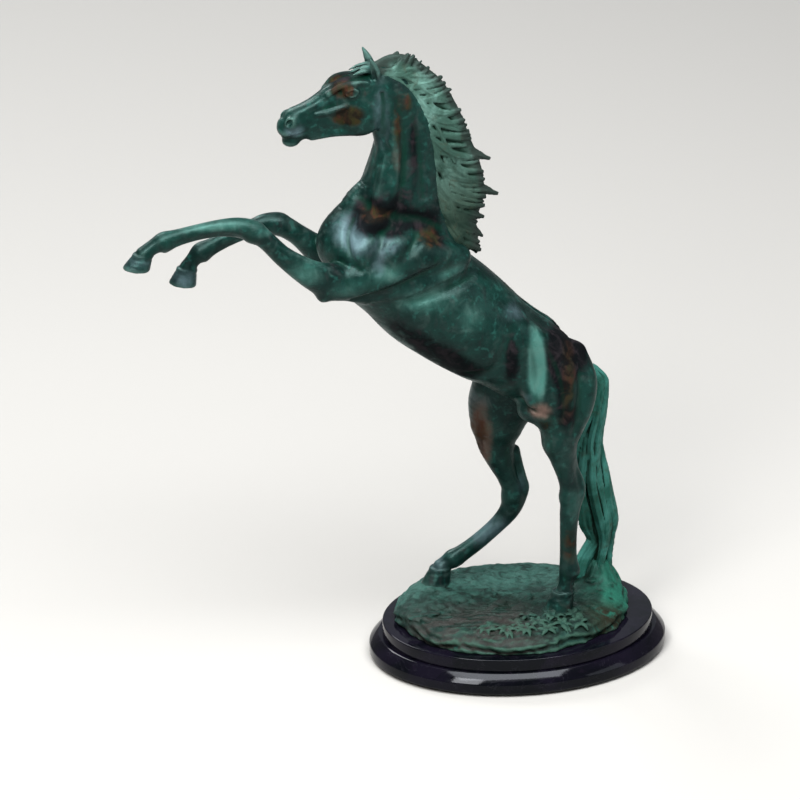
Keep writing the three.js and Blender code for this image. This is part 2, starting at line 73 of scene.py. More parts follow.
class Ellipsoid:
    """turn is degrees about +Y, which tips +X down, then lean degrees about +X, then yaw degrees about +Z."""

    def __init__(self, centre, radii, turn=0, lean=0, yaw=0):
        self.centre, self.radii = np.array(centre, float), np.array(radii, float)
        a, b, c = (math.radians(v) for v in (turn, lean, yaw))
        about_y = np.array([[math.cos(a), 0, math.sin(a)], [0, 1, 0], [-math.sin(a), 0, math.cos(a)]])
        about_x = np.array([[1, 0, 0], [0, math.cos(b), -math.sin(b)], [0, math.sin(b), math.cos(b)]])
        about_z = np.array([[math.cos(c), -math.sin(c), 0], [math.sin(c), math.cos(c), 0], [0, 0, 1]])
        self.axes = about_z @ about_x @ about_y
        reach = np.abs(self.axes) @ self.radii
        self.low, self.high = self.centre - reach, self.centre + reach

    def distance(self, p):
        local = (p - self.centre.astype(np.float32)) @ self.axes.astype(np.float32)
        k0 = np.linalg.norm(local / self.radii, axis=1)
        k1 = np.linalg.norm(local / self.radii**2, axis=1) + 1e-6
        return (k0 * (k0 - 1) / k1).astype(np.float32)


class Sweep:
    """An oval swept along a curve. A station is x, y, z, its half depth and its half width, and the width
    lies along `flat`. Ridges run along it: their number round the oval and their depth."""

    def __init__(self, stations, flat=(0, 1, 0), steps=5, ridges=None, twist=0.0):
        rows = spline(stations, steps)
        self.path, self.size = rows[:, :3], np.maximum(rows[:, 3:5], 0.15)
        tangent = np.gradient(self.path, axis=0)
        tangent /= np.linalg.norm(tangent, axis=1, keepdims=True)
        flat = np.asarray(flat, float)
        wide = flat - tangent * (tangent @ flat)[:, None]
        wide /= np.linalg.norm(wide, axis=1, keepdims=True)
        deep = np.cross(tangent, wide)
        turn = np.linspace(0, twist, len(rows))[:, None]
        self.wide = wide * np.cos(turn) + deep * np.sin(turn)
        self.deep = deep * np.cos(turn) - wide * np.sin(turn)
        self.tangent, self.ridges = tangent, ridges
        reach = self.size.max(1, keepdims=True) * 1.05
        self.low, self.high = (self.path - reach).min(0), (self.path + reach).max(0)

    def distance(self, p):
        path = self.path.astype(np.float32)
        best = np.full(len(p), np.inf, np.float32)
        place = np.zeros(len(p), np.float32)
        for i in range(len(path) - 1):
            along = path[i + 1] - path[i]
            rel = p - path[i]
            t = np.clip(rel @ along / (along @ along), 0, 1)
            rel -= t[:, None] * along
            gap = np.einsum("ij,ij->i", rel, rel)
            closer = gap < best
            best[closer] = gap[closer]
            place[closer] = i + t[closer]
        low = np.minimum(place.astype(np.int32), len(path) - 2)
        share = (place - low)[:, None]

        def at(table):
            table = table.astype(np.float32)
            return table[low] * (1 - share) + table[low + 1] * share

        rel = p - at(path)
        size = at(self.size)
        u = np.einsum("ij,ij->i", rel, at(self.deep))
        v = np.einsum("ij,ij->i", rel, at(self.wide))
        w = np.einsum("ij,ij->i", rel, at(self.tangent))
        a, b = size[:, 0], size[:, 1]
        c = np.minimum(a, b)
        k0 = np.sqrt((u / a) ** 2 + (v / b) ** 2 + (w / c) ** 2)
        k1 = np.sqrt((u / a**2) ** 2 + (v / b**2) ** 2 + (w / c**2) ** 2) + 1e-6
        d = k0 * (k0 - 1) / k1
        if self.ridges:
            count, depth, phase = self.ridges
            angle = np.arctan2(u / a, v / b)
            fade = np.clip(c / 2.5, 0.15, 1)
            swing = 0.6 * np.sin(place * 0.35 + phase)
            d += depth * fade * (0.5 + 0.5 * np.cos(count * angle + phase + swing))
        return d


class Field:
    """Signed distances on a grid, in millimetres, on a lattice that all fields of one step share."""

    def __init__(self, low, high, step):
        self.step = step
        self.first = np.floor(np.array(low) / step).astype(int)
        self.shape = tuple(np.ceil(np.array(high) / step).astype(int) - self.first + 1)
        self.low = self.first * step
        self.high = self.low + (np.array(self.shape) - 1) * step
        self.d = np.full(self.shape, FAR, np.float32)

    def window(self, low, high):
        start = np.maximum(np.floor((low - self.low) / self.step).astype(int), 0)
        stop = np.minimum(np.ceil((high - self.low) / self.step).astype(int) + 1, self.shape)
        if (stop <= start).any():
            return None, None
        axes = [(self.low[i] + self.step * np.arange(start[i],
            stop[i])).astype(np.float32) for i in range(3)]
        points = np.stack(np.meshgrid(*axes, indexing="ij"), axis=-1).reshape(-1, 3)
        return tuple(slice(a, b) for a, b in zip(start, stop)), points

    def _near(self, shape, blend):
        where, points = self.window(shape.low - blend - 2.5 * self.step,
            shape.high + blend + 2.5 * self.step)
        if where is None:
            return None, None
        return where, shape.distance(points).reshape([s.stop - s.start for s in where])

    def add(self, shape, blend=1.0):
        where, new = self._near(shape, blend)
        if where is not None:
            old = self.d[where]
            h = np.maximum(blend - np.abs(old - new), 0) / blend
            self.d[where] = np.minimum(old, new) - h * h * blend * 0.25
        return self

    def cut(self, shape, blend=1.0):
        where, new = self._near(shape, blend)
        if where is not None:
            old, new = self.d[where], -new
            h = np.maximum(blend - np.abs(old - new), 0) / blend
            self.d[where] = np.maximum(old, new) + h * h * blend * 0.25
        return self

    def points(self):
        return self.window(self.low, self.high)[1]

    def relief(self, radius):
        """How much higher a place is than its surroundings, from the blurred field."""
        soft = self.d
        n = max(1, round(radius / self.step))
        for axis in range(3):
            for _ in range(2):
                padded = np.concatenate([soft.take([0] * (n + 1), axis), soft, soft.take([-1] * n, axis)],
                    axis)
                total = np.cumsum(padded, axis=axis, dtype=np.float64)
                hi = total.take(range(2 * n + 1, total.shape[axis]), axis)
                lo = total.take(range(0, total.shape[axis] - 2 * n - 1), axis)
                soft = ((hi - lo) / (2 * n + 1)).astype(np.float32)
        return soft - self.d

    def sample(self, grid, p):
        """The grid's value at points, trilinear, and its gradient."""
        q = (p - self.low) / self.step
        i = np.clip(np.floor(q).astype(int), 0, np.array(self.shape) - 2)
        f = q - i
        corner = {}
        for a in (0, 1):
            for b in (0, 1):
                for c in (0, 1):
                    corner[a, b, c] = grid[i[:, 0] + a, i[:, 1] + b, i[:, 2] + c]
        x, y, z = f.T
        mix = lambda lo, hi, t: lo * (1 - t) + hi * t
        xs = {(b, c): mix(corner[0, b, c], corner[1, b, c], x) for b in (0, 1) for c in (0, 1)}
        dx = {(b, c): corner[1, b, c] - corner[0, b, c] for b in (0, 1) for c in (0, 1)}
        value = mix(mix(xs[0, 0], xs[1, 0], y), mix(xs[0, 1], xs[1, 1], y), z)
        gx = mix(mix(dx[0, 0], dx[1, 0], y), mix(dx[0, 1], dx[1, 1], y), z)
        gy = mix(xs[1, 0] - xs[0, 0], xs[1, 1] - xs[0, 1], z)
        gz = mix(xs[0, 1] - xs[0, 0], xs[1, 1] - xs[1, 0], y)
        return value, np.stack([gx, gy, gz], 1) / self.step

    def surface(self):
        """Vertices and quads of the zero surface, by naive surface nets."""
        d = self.d
        inside = d < 0
        cells = np.zeros(np.array(self.shape) - 1, np.int8)
        nx, ny, nz = cells.shape
        for a in (0, 1):
            for b in (0, 1):
                for c in (0, 1):
                    cells += inside[a : a + nx, b : b + ny, c : c + nz]
        index = np.argwhere((cells > 0) & (cells < 8))
        number = np.full(cells.shape, -1, np.int64)
        number[tuple(index.T)] = np.arange(len(index))
        total = np.zeros((len(index), 3))
        count = np.zeros(len(index))
        for axis in range(3):
            others = [k for k in range(3) if k != axis]
            for a in (0, 1):
                for b in (0, 1):
                    start = index.copy()
                    start[:, others[0]] += a
                    start[:, others[1]] += b
                    end = start.copy()
                    end[:, axis] += 1
                    d0, d1 = d[tuple(start.T)], d[tuple(end.T)]
                    crossed = (d0 < 0) != (d1 < 0)
                    t = d0[crossed] / (d0[crossed] - d1[crossed])
                    hit = start[crossed].astype(float)
                    hit[:, axis] += t
                    total[crossed] += hit
                    count[crossed] += 1
        verts = self.low + self.step * total / count[:, None]
        quads = []
        for axis in range(3):
            u, v = (axis + 1) % 3, (axis + 2) % 3
            lower = [slice(None)] * 3
            upper = [slice(None)] * 3
            lower[axis], upper[axis] = slice(None, -1), slice(1, None)
            flips = inside[tuple(lower)] != inside[tuple(upper)]
            edges = np.argwhere(flips)
            keep = (edges[:, u] > 0) & (edges[:, v] > 0)
            keep &= (edges[:, u] < self.shape[u] - 1) & (edges[:, v] < self.shape[v] - 1)
            edges = edges[keep]
            ring = []
            for du, dv in ((-1, -1), (0, -1), (0, 0), (-1, 0)):
                cell = edges.copy()
                cell[:, u] += du
                cell[:, v] += dv
                ring.append(number[tuple(cell.T)])
            faces = np.stack(ring, 1)
            outward = inside[tuple(edges.T)]
            faces[~outward] = faces[~outward][:, ::-1]
            quads.append(faces)
        for _ in range(2):
            value, slope = self.sample(d, verts)
            length = np.maximum((slope**2).sum(1), 0.09)
            verts -= np.clip(value / length, -0.4 * self.step, 0.4 * self.step)[:, None] * slope
        return verts, np.vstack(quads)

# ---------------------------------------------------------------- the horse's flesh
# Stations are x, y, z of a section's centre, then its half depth and its half width. Left is -Y.

BARREL = [
    (36, 0, 223, 10, 10), (32, 0, 225, 21, 21), (18, 0, 229, 29.5, 30), (7, 0, 239, 34, 33),
    (-9, 0, 251.5, 35, 35), (-25, 0, 263, 38, 36.5), (-40, 0, 275.5, 40.5, 37), (-54.5, 0, 288, 42, 37),
    (-71, 0, 302, 42.5, 35), (-88, 0, 319, 41, 31), (-105, 0, 332, 38, 27), (-122, 0, 343, 31, 23),
    (-137, 0, 352, 20, 17),
]
NECK = [
    (-99, 0, 330, 44, 24), (-100, 0, 352, 48, 25), (-96, 0, 374, 41, 21), (-91, 0, 392, 31, 17.5),
    (-88.5, 0, 410, 26.5, 15.5), (-87.5, 0, 428, 23.5, 14), (-92, 0, 448, 22.5, 13),
    (-99, 0, 468, 19.5, 12.5), (-108, 0, 481, 13, 10.5),
]
HEAD = [
    (-106, 0, 477, 11, 9.5), (-116, 0, 471, 17.5, 11.5), (-128, 0, 465, 21.5, 12.2),
    (-141, 0, 460.5, 20.5, 11), (-153, 0, 456.3, 16.8, 9), (-165, 0, 453.3, 14.2, 8),
    (-174.5, 0, 451, 13, 8.3), (-179.8, 0, 449.6, 8.8, 6.3),
]
HAUNCH = {
    -1: [
        (23, -15, 244, 21, 16), (26, -19, 229, 25, 18), (27, -22.5, 208, 22.5, 17),
        (27, -24.5, 192, 18, 14.5), (25.5, -26, 178, 12.5, 12),
    ],
    1: [
        (22, 16, 240, 19, 16), (16, 20, 226, 28, 18), (4, 24, 206, 32, 17.5), (-5, 26, 188, 26.5, 15.5),
        (-9, 27, 172, 19.5, 13),
    ],
}
HIND = {
    -1: [
        (25.5, -26, 180, 13, 12), (28, -26.5, 165, 9.8, 9.8), (31, -26.5, 151, 7.4, 7.8),
        (33.5, -26.5, 140, 7.6, 7), (34, -26.5, 130, 7.8, 6.6), (32.5, -26.5, 117, 6.6, 5.8),
        (32, -26.5, 100, 6, 5.1), (32, -26.5, 84, 6, 5.2), (32.5, -26.5, 71, 7, 6.3),
        (31, -26.5, 61, 5.9, 5.9), (29.5, -26.5, 54, 6.6, 6.8),
    ],
    1: [
        (-9, 27, 173, 19.5, 12.5), (-9, 27.5, 157, 14.5, 10.5), (-5.5, 28, 142, 10.3, 8.6),
        (-1, 28, 129, 7.6, 7), (3, 28, 117.5, 7.6, 6.6), (3.5, 28, 107.5, 8.4, 6.8),
        (-0.5, 28.5, 98, 7.4, 6.2), (-9.5, 29, 88.5, 6, 5.2), (-23, 29.5, 77.5, 5.5, 4.9),
        (-35, 30, 69, 5.8, 5.2), (-42.5, 30.5, 64, 7, 6.3), (-47.5, 31, 60.5, 6, 5.9),
        (-51, 31, 57.5, 6.6, 6.8),
    ],
}
FORE = {
    -1: [
        (-122, -18, 324, 18, 11), (-137, -22, 327, 14, 12), (-151, -24.5, 331, 14.5, 12),
        (-163.5, -25, 337, 11.5, 10.8), (-177, -25, 346.5, 9.2, 9), (-189.5, -25, 357.5, 7.6, 7.6),
        (-201, -25, 370.5, 7.2, 7.2), (-211.5, -25, 379.5, 8.2, 7.6), (-223, -25, 384.5, 7, 6.6),
        (-237, -25, 386, 5.6, 5.1), (-253, -25, 384.5, 5.3, 4.8), (-268, -25, 382, 5.6, 5),
        (-280, -25, 379, 7, 6.2), (-289.5, -25, 374.5, 5.6, 5.6), (-295, -25, 370, 6.4, 6.6),
    ],
    1: [
        (-110, 16, 318, 18, 11), (-126, 20, 320, 14, 12), (-140, 22, 327, 13, 11.5),
        (-152.5, 22, 339, 10.2, 9.8), (-165.5, 22, 351, 8, 8), (-179, 22, 360.5, 8.4, 7.8),
        (-190, 22, 363, 7.2, 6.8), (-204, 22, 359.5, 5.5, 5.1), (-218, 22, 355, 5.2, 4.8),
        (-230, 22, 350, 5.5, 5), (-239.5, 22, 345, 7, 6.3), (-246, 22, 338.5, 5.6, 5.7),
        (-249.5, 22, 333, 6.4, 6.6),
    ],
}
# A hoof: the coronet's centre, the sole's centre, the way the toe points, and the sole's half length
# and half width.
HOOVES = {
    ("hind", -1): ((29.5, -26.5, 55), (25, -26.5, 39), (-1, 0, 0), (12.6, 10.4)),
    ("hind", 1): ((-51, 31, 58), (-55, 31, 44.4), (-1, 0, 0), (12.4, 10.3)),
    ("fore", -1): ((-295, -25, 370), (-300.5, -25, 358.5), (-1, 0, 0.12), (11.4, 9.2)),
    ("fore", 1): ((-249.5, 22, 332.5), (-253, 22, 320), (-1, 0, 0.14), (11.6, 9.3)),
}


class Hoof:
    """A blunt slanting cone with a flat sole, a longer toe and a groove under the coronet."""

    def __init__(self, coronet, sole, toe, half):
        self.sole, self.toe = np.array(sole, float), norm(toe)
        self.side = np.array([0.0, 1.0, 0.0])
        self.up = norm(np.cross(self.toe, self.side))
        if self.up[2] < 0:
            self.up = -self.up
        rise = np.array(coronet, float) - self.sole
        self.height = rise @ self.up
        self.slant = (rise @ self.toe) / self.height
        self.half = half
        reach = max(half) + self.height
        self.low, self.high = self.sole - reach, self.sole + reach

    def distance(self, p):
        rel = p - self.sole.astype(np.float32)
        u = rel @ self.up.astype(np.float32)
        v = rel @ self.side.astype(np.float32)
        w = rel @ self.toe.astype(np.float32) - self.slant * u
        share = np.clip(u / self.height, -0.2, 1.2)
        taper = 1 - 0.30 * share
        flare = 0.5 * np.exp(-(((share - 1) / 0.16) ** 2)) - 0.35 * np.exp(-(((share - 0.8) / 0.07) ** 2))
        rings = 0.09 * np.cos(share * 30)
        long = self.half[0] * taper * np.where(w > 0, 1.0, 0.84) + flare + rings
        wide = self.half[1] * taper + flare + rings
        k = np.sqrt((w / long) ** 2 + (v / wide) ** 2)
        wall = (k - 1) * np.minimum(long, wide)
        top = u - self.height - 0.4
        out = np.maximum(wall, top)
        base = -u
        h = np.maximum(1.2 - np.abs(out - base), 0) / 1.2
        return np.maximum(out, base) + h * h * 0.3


def torso_parts(s):
    """Muscles of one side of the trunk: (shape, blend)."""
    return [
        (Ellipsoid((-134.5, s * 10, 349), (14.5, 11, 17), turn=12), 6),  # pectoral
        (Ellipsoid((-128, s * 9, 326), (15, 8, 12), turn=-30), 6),  # under the chest
        (Sweep([(-50, s * 15, 336, 9, 10), (-75, s * 23, 341, 15, 11), (-102, s * 24.5, 345, 20, 12),
                (-126, s * 21, 348, 18, 12), (-138, s * 16, 352, 10.5, 9)]), 5),  # shoulder blade
        (Sweep([(-88, s * 27, 330, 8, 7), (-108, s * 27.5, 331, 12, 9), (-130, s * 27, 331, 13, 9.5),
                (-150, s * 25.5, 329, 9, 8)]), 4),  # triceps
        (Sweep([(-96, s * 10, 452, 5, 5), (-99, s * 12.5, 430, 7, 5), (-104, s * 15, 405, 9, 6),
                (-111, s * 17.5, 382, 9.5, 7), (-122, s * 19, 366, 9, 7)]),
                4),  # muscle from jaw to shoulder
        (Sweep([(-105, s * 6, 430, 4, 4), (-108.5, s * 8, 408, 6, 6), (-116.5, s * 9, 386, 6, 6),
                (-129, s * 8.5, 368, 6.5, 7)]), 4),  # muscle down the front of the neck
        (Ellipsoid((-2, s * 24, 262), (30, 9, 15), turn=42), 9),  # loin
        (Ellipsoid((19, s * 19, 248), (18, 13, 16), turn=45), 8),  # croup
    ]


def haunch_parts(side):
    if side < 0:
        return [
            (Sweep(HAUNCH[-1]), 7),
            (Sweep([(40, -16, 246, 9, 9), (45, -23, 226, 10, 10), (42, -27, 206, 9, 9),
            (35, -28, 188, 6, 7)]), 4),
            (Sweep([(10, -25, 238, 10, 9), (9, -30, 222, 12, 9), (13, -31, 206, 9, 8),
            (18, -29, 193, 6, 6)]), 5),
            (Sweep([(24, -28, 240, 12, 9), (27, -33, 222, 12, 8), (28, -34, 205, 9, 7),
            (28, -32, 188, 6, 5)]), 4),
            (Ellipsoid((14, -29, 199), (6.5, 6, 7)), 3),
            (Ellipsoid((4, -19, 204), (9, 10, 8)), 9),
        ]
    return [
        (Sweep(HAUNCH[1]), 7),
        (Sweep([(36, 17, 238, 8, 9), (39, 25, 222, 10, 10), (30, 30, 202, 9, 9), (15, 31, 184, 6, 7)]), 4),
        (Sweep([(-2, 26, 234, 11, 9), (-10, 31, 214, 13, 10), (-19, 32, 196, 10, 9), (-22, 30, 182, 7, 7)]),
        5),
    ]


def hind_parts(side):
    if side < 0:
        return [
            (Sweep(HIND[-1]), 4),
            (Sweep([(31, -26.5, 172, 6, 6), (37, -26.5, 156, 3.2, 3), (41.3, -26.5, 145, 3, 2.8),
                    (42.3, -26.5, 136, 3.4, 3.4), (39, -26.5, 124, 3, 3), (36.4, -26.5, 105, 2.4, 2.6),
                    (36.2, -26.5, 84, 2.4, 2.6), (38.6, -26.5, 70, 2.6, 3.2)]), 3),
            (Ellipsoid((33, -26.5, 133), (7.4, 7.2, 8)), 3),
            (Ellipsoid((34, -26.5, 71), (6.2, 6.4, 6.2)), 3),
        ]
    return [
        (Sweep(HIND[1]), 4),
        (Sweep([(5, 28, 150, 4, 4), (8.5, 28, 138, 3, 2.8), (11.5, 28, 126, 3, 2.8),
        (12.8, 28, 117, 3.6, 3.4),
                (9, 28.5, 104.5, 3, 3), (-1.5, 29, 90.5, 2.4, 2.6), (-19, 29.5, 74.2, 2.4, 2.6),
                (-36, 30, 62.6, 2.8, 3.2)]), 3),
        (Ellipsoid((3, 28, 113), (8, 7.4, 8.2), turn=30), 3),
        (Ellipsoid((-41.5, 30.5, 63.6), (6.4, 6.5, 6)), 3),
    ]


def fore_parts(side):
    if side < 0:
        return [
            (Sweep(FORE[-1]), 4),
            (Ellipsoid((-157, -27, 322.5), (5.5, 6, 6.5), turn=30), 4),  # point of the elbow
            (Sweep([(-150, -31, 338, 7, 5), (-166, -31.5, 346, 6, 4.5), (-182, -30, 357, 4.5, 3.5),
                    (-194, -28, 366, 3, 3)]), 3),  # extensor
            (Ellipsoid((-211, -25, 378.5), (8.6, 8, 8), turn=-30), 3),
            (Sweep([(-220, -25, 378, 2.4, 2.6), (-237, -25, 380.4, 2.3, 2.5), (-254, -25, 379.4, 2.2, 2.5),
                    (-269, -25, 376.6, 2.4, 3), (-279, -25, 372.6, 2.6, 3.4)]), 2.5),
            (Ellipsoid((-279.5, -25, 378.5), (6.6, 6.6, 6.6)), 3),
        ]
    return [
        (Sweep(FORE[1]), 4),
        (Ellipsoid((-131, 24, 316), (5.5, 6, 6.5), turn=30), 4),
        (Ellipsoid((-180, 22, 361), (8.6, 8, 8), turn=-15), 3),
        (Sweep([(-189, 22, 357, 2.4, 2.6), (-203, 22, 354.4, 2.3, 2.5), (-217, 22, 349.8, 2.2, 2.5),
                (-229, 22, 344.6, 2.4, 3), (-236.5, 22, 339.6, 2.6, 3.4)]), 2.5),
        (Ellipsoid((-239, 22, 344.5), (6.6, 6.6, 6.6)), 3),
    ]


def head_parts(s):
    return [
        (Ellipsoid((-123, s * 8.6, 456.5), (15, 5.6, 15)), 2.5),  # cheek
        (Sweep([(-136, s * 11.2, 466.5, 1.5, 1.4), (-146, s * 9.9, 463.5, 1.7, 1.3),
        (-158, s * 8, 461, 1.4, 1.2)]), 2.5),
        (Sweep([(-119, s * 8.4, 482.4, 2.4, 2.2), (-127, s * 9.4, 483.6, 2.4, 2.2),
        (-135, s * 9.6, 483.4, 2.4, 2.2),
                (-141.5, s * 8.8, 481.6, 2.3, 2), (-148, s * 7, 476, 2, 1.8)]), 3),  # brow
        (Ellipsoid((-131, s * 9.6, 477.5), (6.6, 4, 5.4), turn=15), 2.5),  # round the eye
        (Ellipsoid((-176.5, s * 7, 455.6), (5.6, 3.2, 5.4), turn=20), 3),  # nostril wing
        (Sweep([(-150, s * 4.6, 471.5, 2.6, 2.4), (-163, s * 4, 464.5, 2.4, 2.2),
        (-173, s * 3.8, 460.5, 2.4, 2.2)]), 4),
        (Ellipsoid((-179.6, s * 3.6, 448), (5.4, 4.8, 4.2)), 2.5),  # upper lip
        (Sweep([(-112, s * 6.6, 447, 3, 3), (-120, s * 7, 444.4, 3, 3), (-130, s * 6.6, 443.6, 3, 3),
                (-145, s * 5.2, 443.6, 2.8, 2.8), (-160, s * 3.8, 441.6, 2.6, 2.6)]),
                4),  # lower jaw's edge
    ]


def head_cuts(s):
    return [
        (Ellipsoid((-122.5, s * 12.6, 482), (4.6, 2.6, 2.8), turn=10), 2),  # hollow behind the brow
        (Sweep([(-142, s * 12.6, 470.5, 2.6, 2.2), (-152, s * 10.8, 466.5, 2.4, 2)]),
        3),  # hollow before the eye
        (Ellipsoid((-179.4, s * 9.2, 456.6), (2.2, 2.7, 3.3), turn=35), 1.0),  # nostril
        (Sweep([(-187, s * 1.5, 444.4, 0.9, 3.4), (-181, s * 7.4, 444.2, 0.9, 2.6),
        (-173, s * 8.8, 445.4, 0.85, 2),
                (-165, s * 8.6, 448, 0.7, 1.6)]), 0.8),  # mouth
        (Sweep([(-110, s * 13.4, 446, 1.7, 1.5), (-107.6, s * 13, 455, 2, 1.6),
        (-107, s * 12.4, 464, 1.8, 1.5),
                (-108, s * 11.4, 474, 1.4, 1.3)]), 2.5),  # behind the jaw
    ]


def eye_parts(s):
    return [
        (Ellipsoid((-131.8, s * 11.2, 477.8), (3.3, 2.7, 2.7)), 0.4),  # ball
        (Sweep([(-136.2, s * 12.2, 477, 0.8, 0.8), (-134, s * 13.2, 480, 0.95, 0.9),
        (-130.5, s * 13.5, 481, 1, 0.9),
                (-127, s * 12.7, 479, 0.8, 0.8)]), 0.7),  # upper lid
        (Sweep([(-136.2, s * 12.2, 476.8, 0.7, 0.7), (-133, s * 13.1, 475, 0.75, 0.7),
        (-129.6, s * 13.1, 475.5, 0.75, 0.7),
                (-127, s * 12.6, 478, 0.7, 0.7)]), 0.7),  # lower lid
    ]


def ear_parts(s):
    spine = [(-111.5, s * 5.6, 482, 3.8, 3.4), (-112, s * 7.6, 488, 3.9, 3.2),
        (-113.4, s * 9.5, 494, 3.2, 2.7),
             (-115.4, s * 11, 499, 2.1, 1.8), (-117.2, s * 12, 503, 0.8, 0.7)]
    bowl = [(-113.4, s * 9.8, 486, 1.6, 1.5), (-114.4, s * 11, 490.5, 2.1, 1.9),
        (-115.9, s * 12, 495, 1.7, 1.5),
            (-117.2, s * 12.6, 499.4, 0.9, 0.8)]
    return Sweep(spine), Sweep(bowl)


# Lines that are carved or raised on the trunk's skin: x and z, then the tool's radius, how far its centre
# stands out of the skin, and the blend. A negative radius raises the line.
BODY_LINES = [
    ([(-70, 337.5), (-85.9, 331), (-105, 324), (-124, 318), (-136, 316)], 2.9, 0.7, 3.5),
    ([(-50, 329), (-67, 326), (-92, 319), (-116, 313.5)], -3.2, -1.2, 5),
    ([(-40, 322), (-66, 317), (-92, 309)], 3.0, 2.0, 6),
    ([(-126, 391), (-114, 382), (-97, 376), (-78, 371), (-62, 361)], 3.4, 2.2, 7),
    ([(-131.8, 376), (-137, 365), (-137, 352), (-131, 341)], 2.0, 0.9, 3),
    ([(-112, 366), (-119, 352), (-119, 340)], 3.0, 2.2, 6),
    ([(-84, 362), (-96, 350), (-104, 340)], 3.0, 2.3, 7),
    ([(-46, 240), (-28, 246), (-18.7, 261), (-14, 279)], 3.6, 2.4, 7),
    ([(-97, 468), (-93, 448), (-91.5, 425), (-93, 402)], 2.4, 1.6, 6),
    ([(-84, 452), (-80.5, 432), (-78, 410), (-77, 388)], 2.4, 1.5, 5),
    ([(-106, 430), (-105, 412), (-109, 396)], 2.0, 1.2, 6),
]
NEAR_LINES = [
    ([(14, 262), (20, 246), (23.5, 230), (24.5, 214), (24, 200)], 2.6, 1.3, 5),
    ([(40, 236), (39, 220), (37, 204), (34, 190)], 2.4, 1.4, 5),
    ([(2, 262), (4, 244), (3, 228), (6, 212)], 2.4, 1.6, 6),
    ([(-4, 216), (6, 209), (14, 207), (22, 203)], 1.8, 0.9, 3),
]
FAR_LINES = [
    ([(20, 254), (16, 236), (8, 216), (0, 198)], 2.6, 1.3, 5),
    ([(34, 226), (26, 208), (14, 192)], 2.4, 1.4, 5), ([(-16, 222), (-8, 210), (-2, 200)], 2.0, 1.2, 4),
]


def shape_muscles(field):
    field.add(Sweep(BARREL), 1).add(Sweep(NECK), 14).add(Sweep(HEAD), 5)
    for side in SIDES:
        for shape, blend in torso_parts(side) + haunch_parts(side) + hind_parts(side) + fore_parts(side):
            field.add(shape, blend)
    return field


def lay_on_skin(lines, side):
    """The sweeps for lines drawn on one side of the trunk."""
    placed = []
    for path, radius, lift, blend in lines:
        stations = []
        last = len(path) - 1
        for i, (x, z) in enumerate(path):
            size = abs(radius) * (1 if 0 < i < last else 0.55)
            stations.append((x, side * (SKIN.half_width(x, z, side) + lift), z, size, size))
        placed.append((Sweep(stations), blend, radius < 0))
    return placed


class Skin:
    """A coarse field of the muscles alone, which tells where the skin is at a given x and z."""

    def __init__(self):
        self.field = shape_muscles(Field((-170, -48, 170), (66, 48, 480), 2.4))
        self.across = self.field.low[1] + self.field.step * np.arange(self.field.shape[1])

    def half_width(self, x, z, side):
        ys = self.across * side
        points = np.stack([np.full_like(ys, x), self.across, np.full_like(ys, z)], 1)
        values = self.field.sample(self.field.d, points)[0]
        order = np.argsort(ys)
        ys, values = ys[order], values[order]
        solid = np.flatnonzero((values[:-1] < 0) & (values[1:] >= 0))
        if not len(solid):
            return 14.0
        i = solid[-1]
        return ys[i] + (ys[i + 1] - ys[i]) * values[i] / (values[i] - values[i + 1])


SKIN = Skin()
SKIN_LINES = [line for side in SIDES for line in
              lay_on_skin(BODY_LINES + (NEAR_LINES if side < 0 else FAR_LINES), side)]


def shape_flesh(field):
    """Adds the whole horse, apart from its hair and hooves, to a field."""
    shape_muscles(field)
    for side in SIDES:
        for shape, blend in head_parts(side):
            field.add(shape, blend)
    field.add(Ellipsoid((-175.5, 0, 438.8), (6.8, 5.6, 4.8)), 3)  # chin
    field.add(Sweep([(28, 0, 236, 6, 6), (41, 0.5, 229, 6.3, 6.3), (50, 1, 223, 5.8, 5.8)]), 5)  # dock
    for line, blend, raised in SKIN_LINES:
        (field.add if raised else field.cut)(line, blend)
    for side in SIDES:
        for shape, blend in head_cuts(side):
            field.cut(shape, blend)
        for shape, blend in eye_parts(side):
            field.add(shape, blend)
        ear, bowl = ear_parts(side)
        field.add(ear, 1.5).cut(bowl, 0.8)
    groove = Sweep([(38, 0, 252, 1.6, 1.6), (20, 0, 268, 1.8, 1.6), (-5, 0, 289, 1.8, 1.6),
        (-30, 0, 312, 1.2, 1.2)])
    field.cut(groove, 5)  # the furrow along the back
    return field

# ---------------------------------------------------------------- hair


def strand(root, tip, lift, sway, size, flat=(0, 1, 0), curl=0.0, ridges=(6, 0.5, 0.0), twist=0.0, rows=7):
    """One lock of hair from root to tip. lift bows it upwards, sway sideways, and curl makes an S of it."""
    root, tip = np.array(root, float), np.array(tip, float)
    along = tip - root
    up = norm(np.cross(along, (0, 1, 0)))
    if up[2] < 0:
        up = -up
    stations = []
    for i in range(rows):
        t = i / (rows - 1)
        bow = math.sin(math.pi * t) * lift + math.sin(2 * math.pi * t) * curl
        place = root + along * t + up * bow + np.array([0, sway * math.sin(math.pi * t * 0.9), 0])
        full = (0.75 + 1.0 * t) if t < 0.3 else max(0.06, 1.05 * (1 - ((t - 0.3) / 0.7) ** 1.7))
        stations.append((*place, size[0] * full, size[1] * full))
    return Sweep(stations, flat=flat, steps=3, ridges=ridges, twist=twist)


# The mane's root line and its outer edge, from the poll to the withers: x and z.
CREST = [
    (-112, 492), (-104, 487), (-94, 478), (-85, 467), (-78, 456), (-73, 443), (-70, 430), (-67, 416),
    (-66, 402), (-65, 387), (-63, 372), (-58, 357), (-50, 344),
]
MANE_EDGE = [
    (-110, 493), (-101, 500), (-91, 501), (-81, 497), (-69, 486), (-57, 474), (-51, 462), (-45, 450),
    (-40.5, 438), (-37, 426), (-32, 414), (-28, 402), (-26, 392), (-25, 380), (-27, 368), (-33, 357),
    (-31, 345), (-30, 332),
]
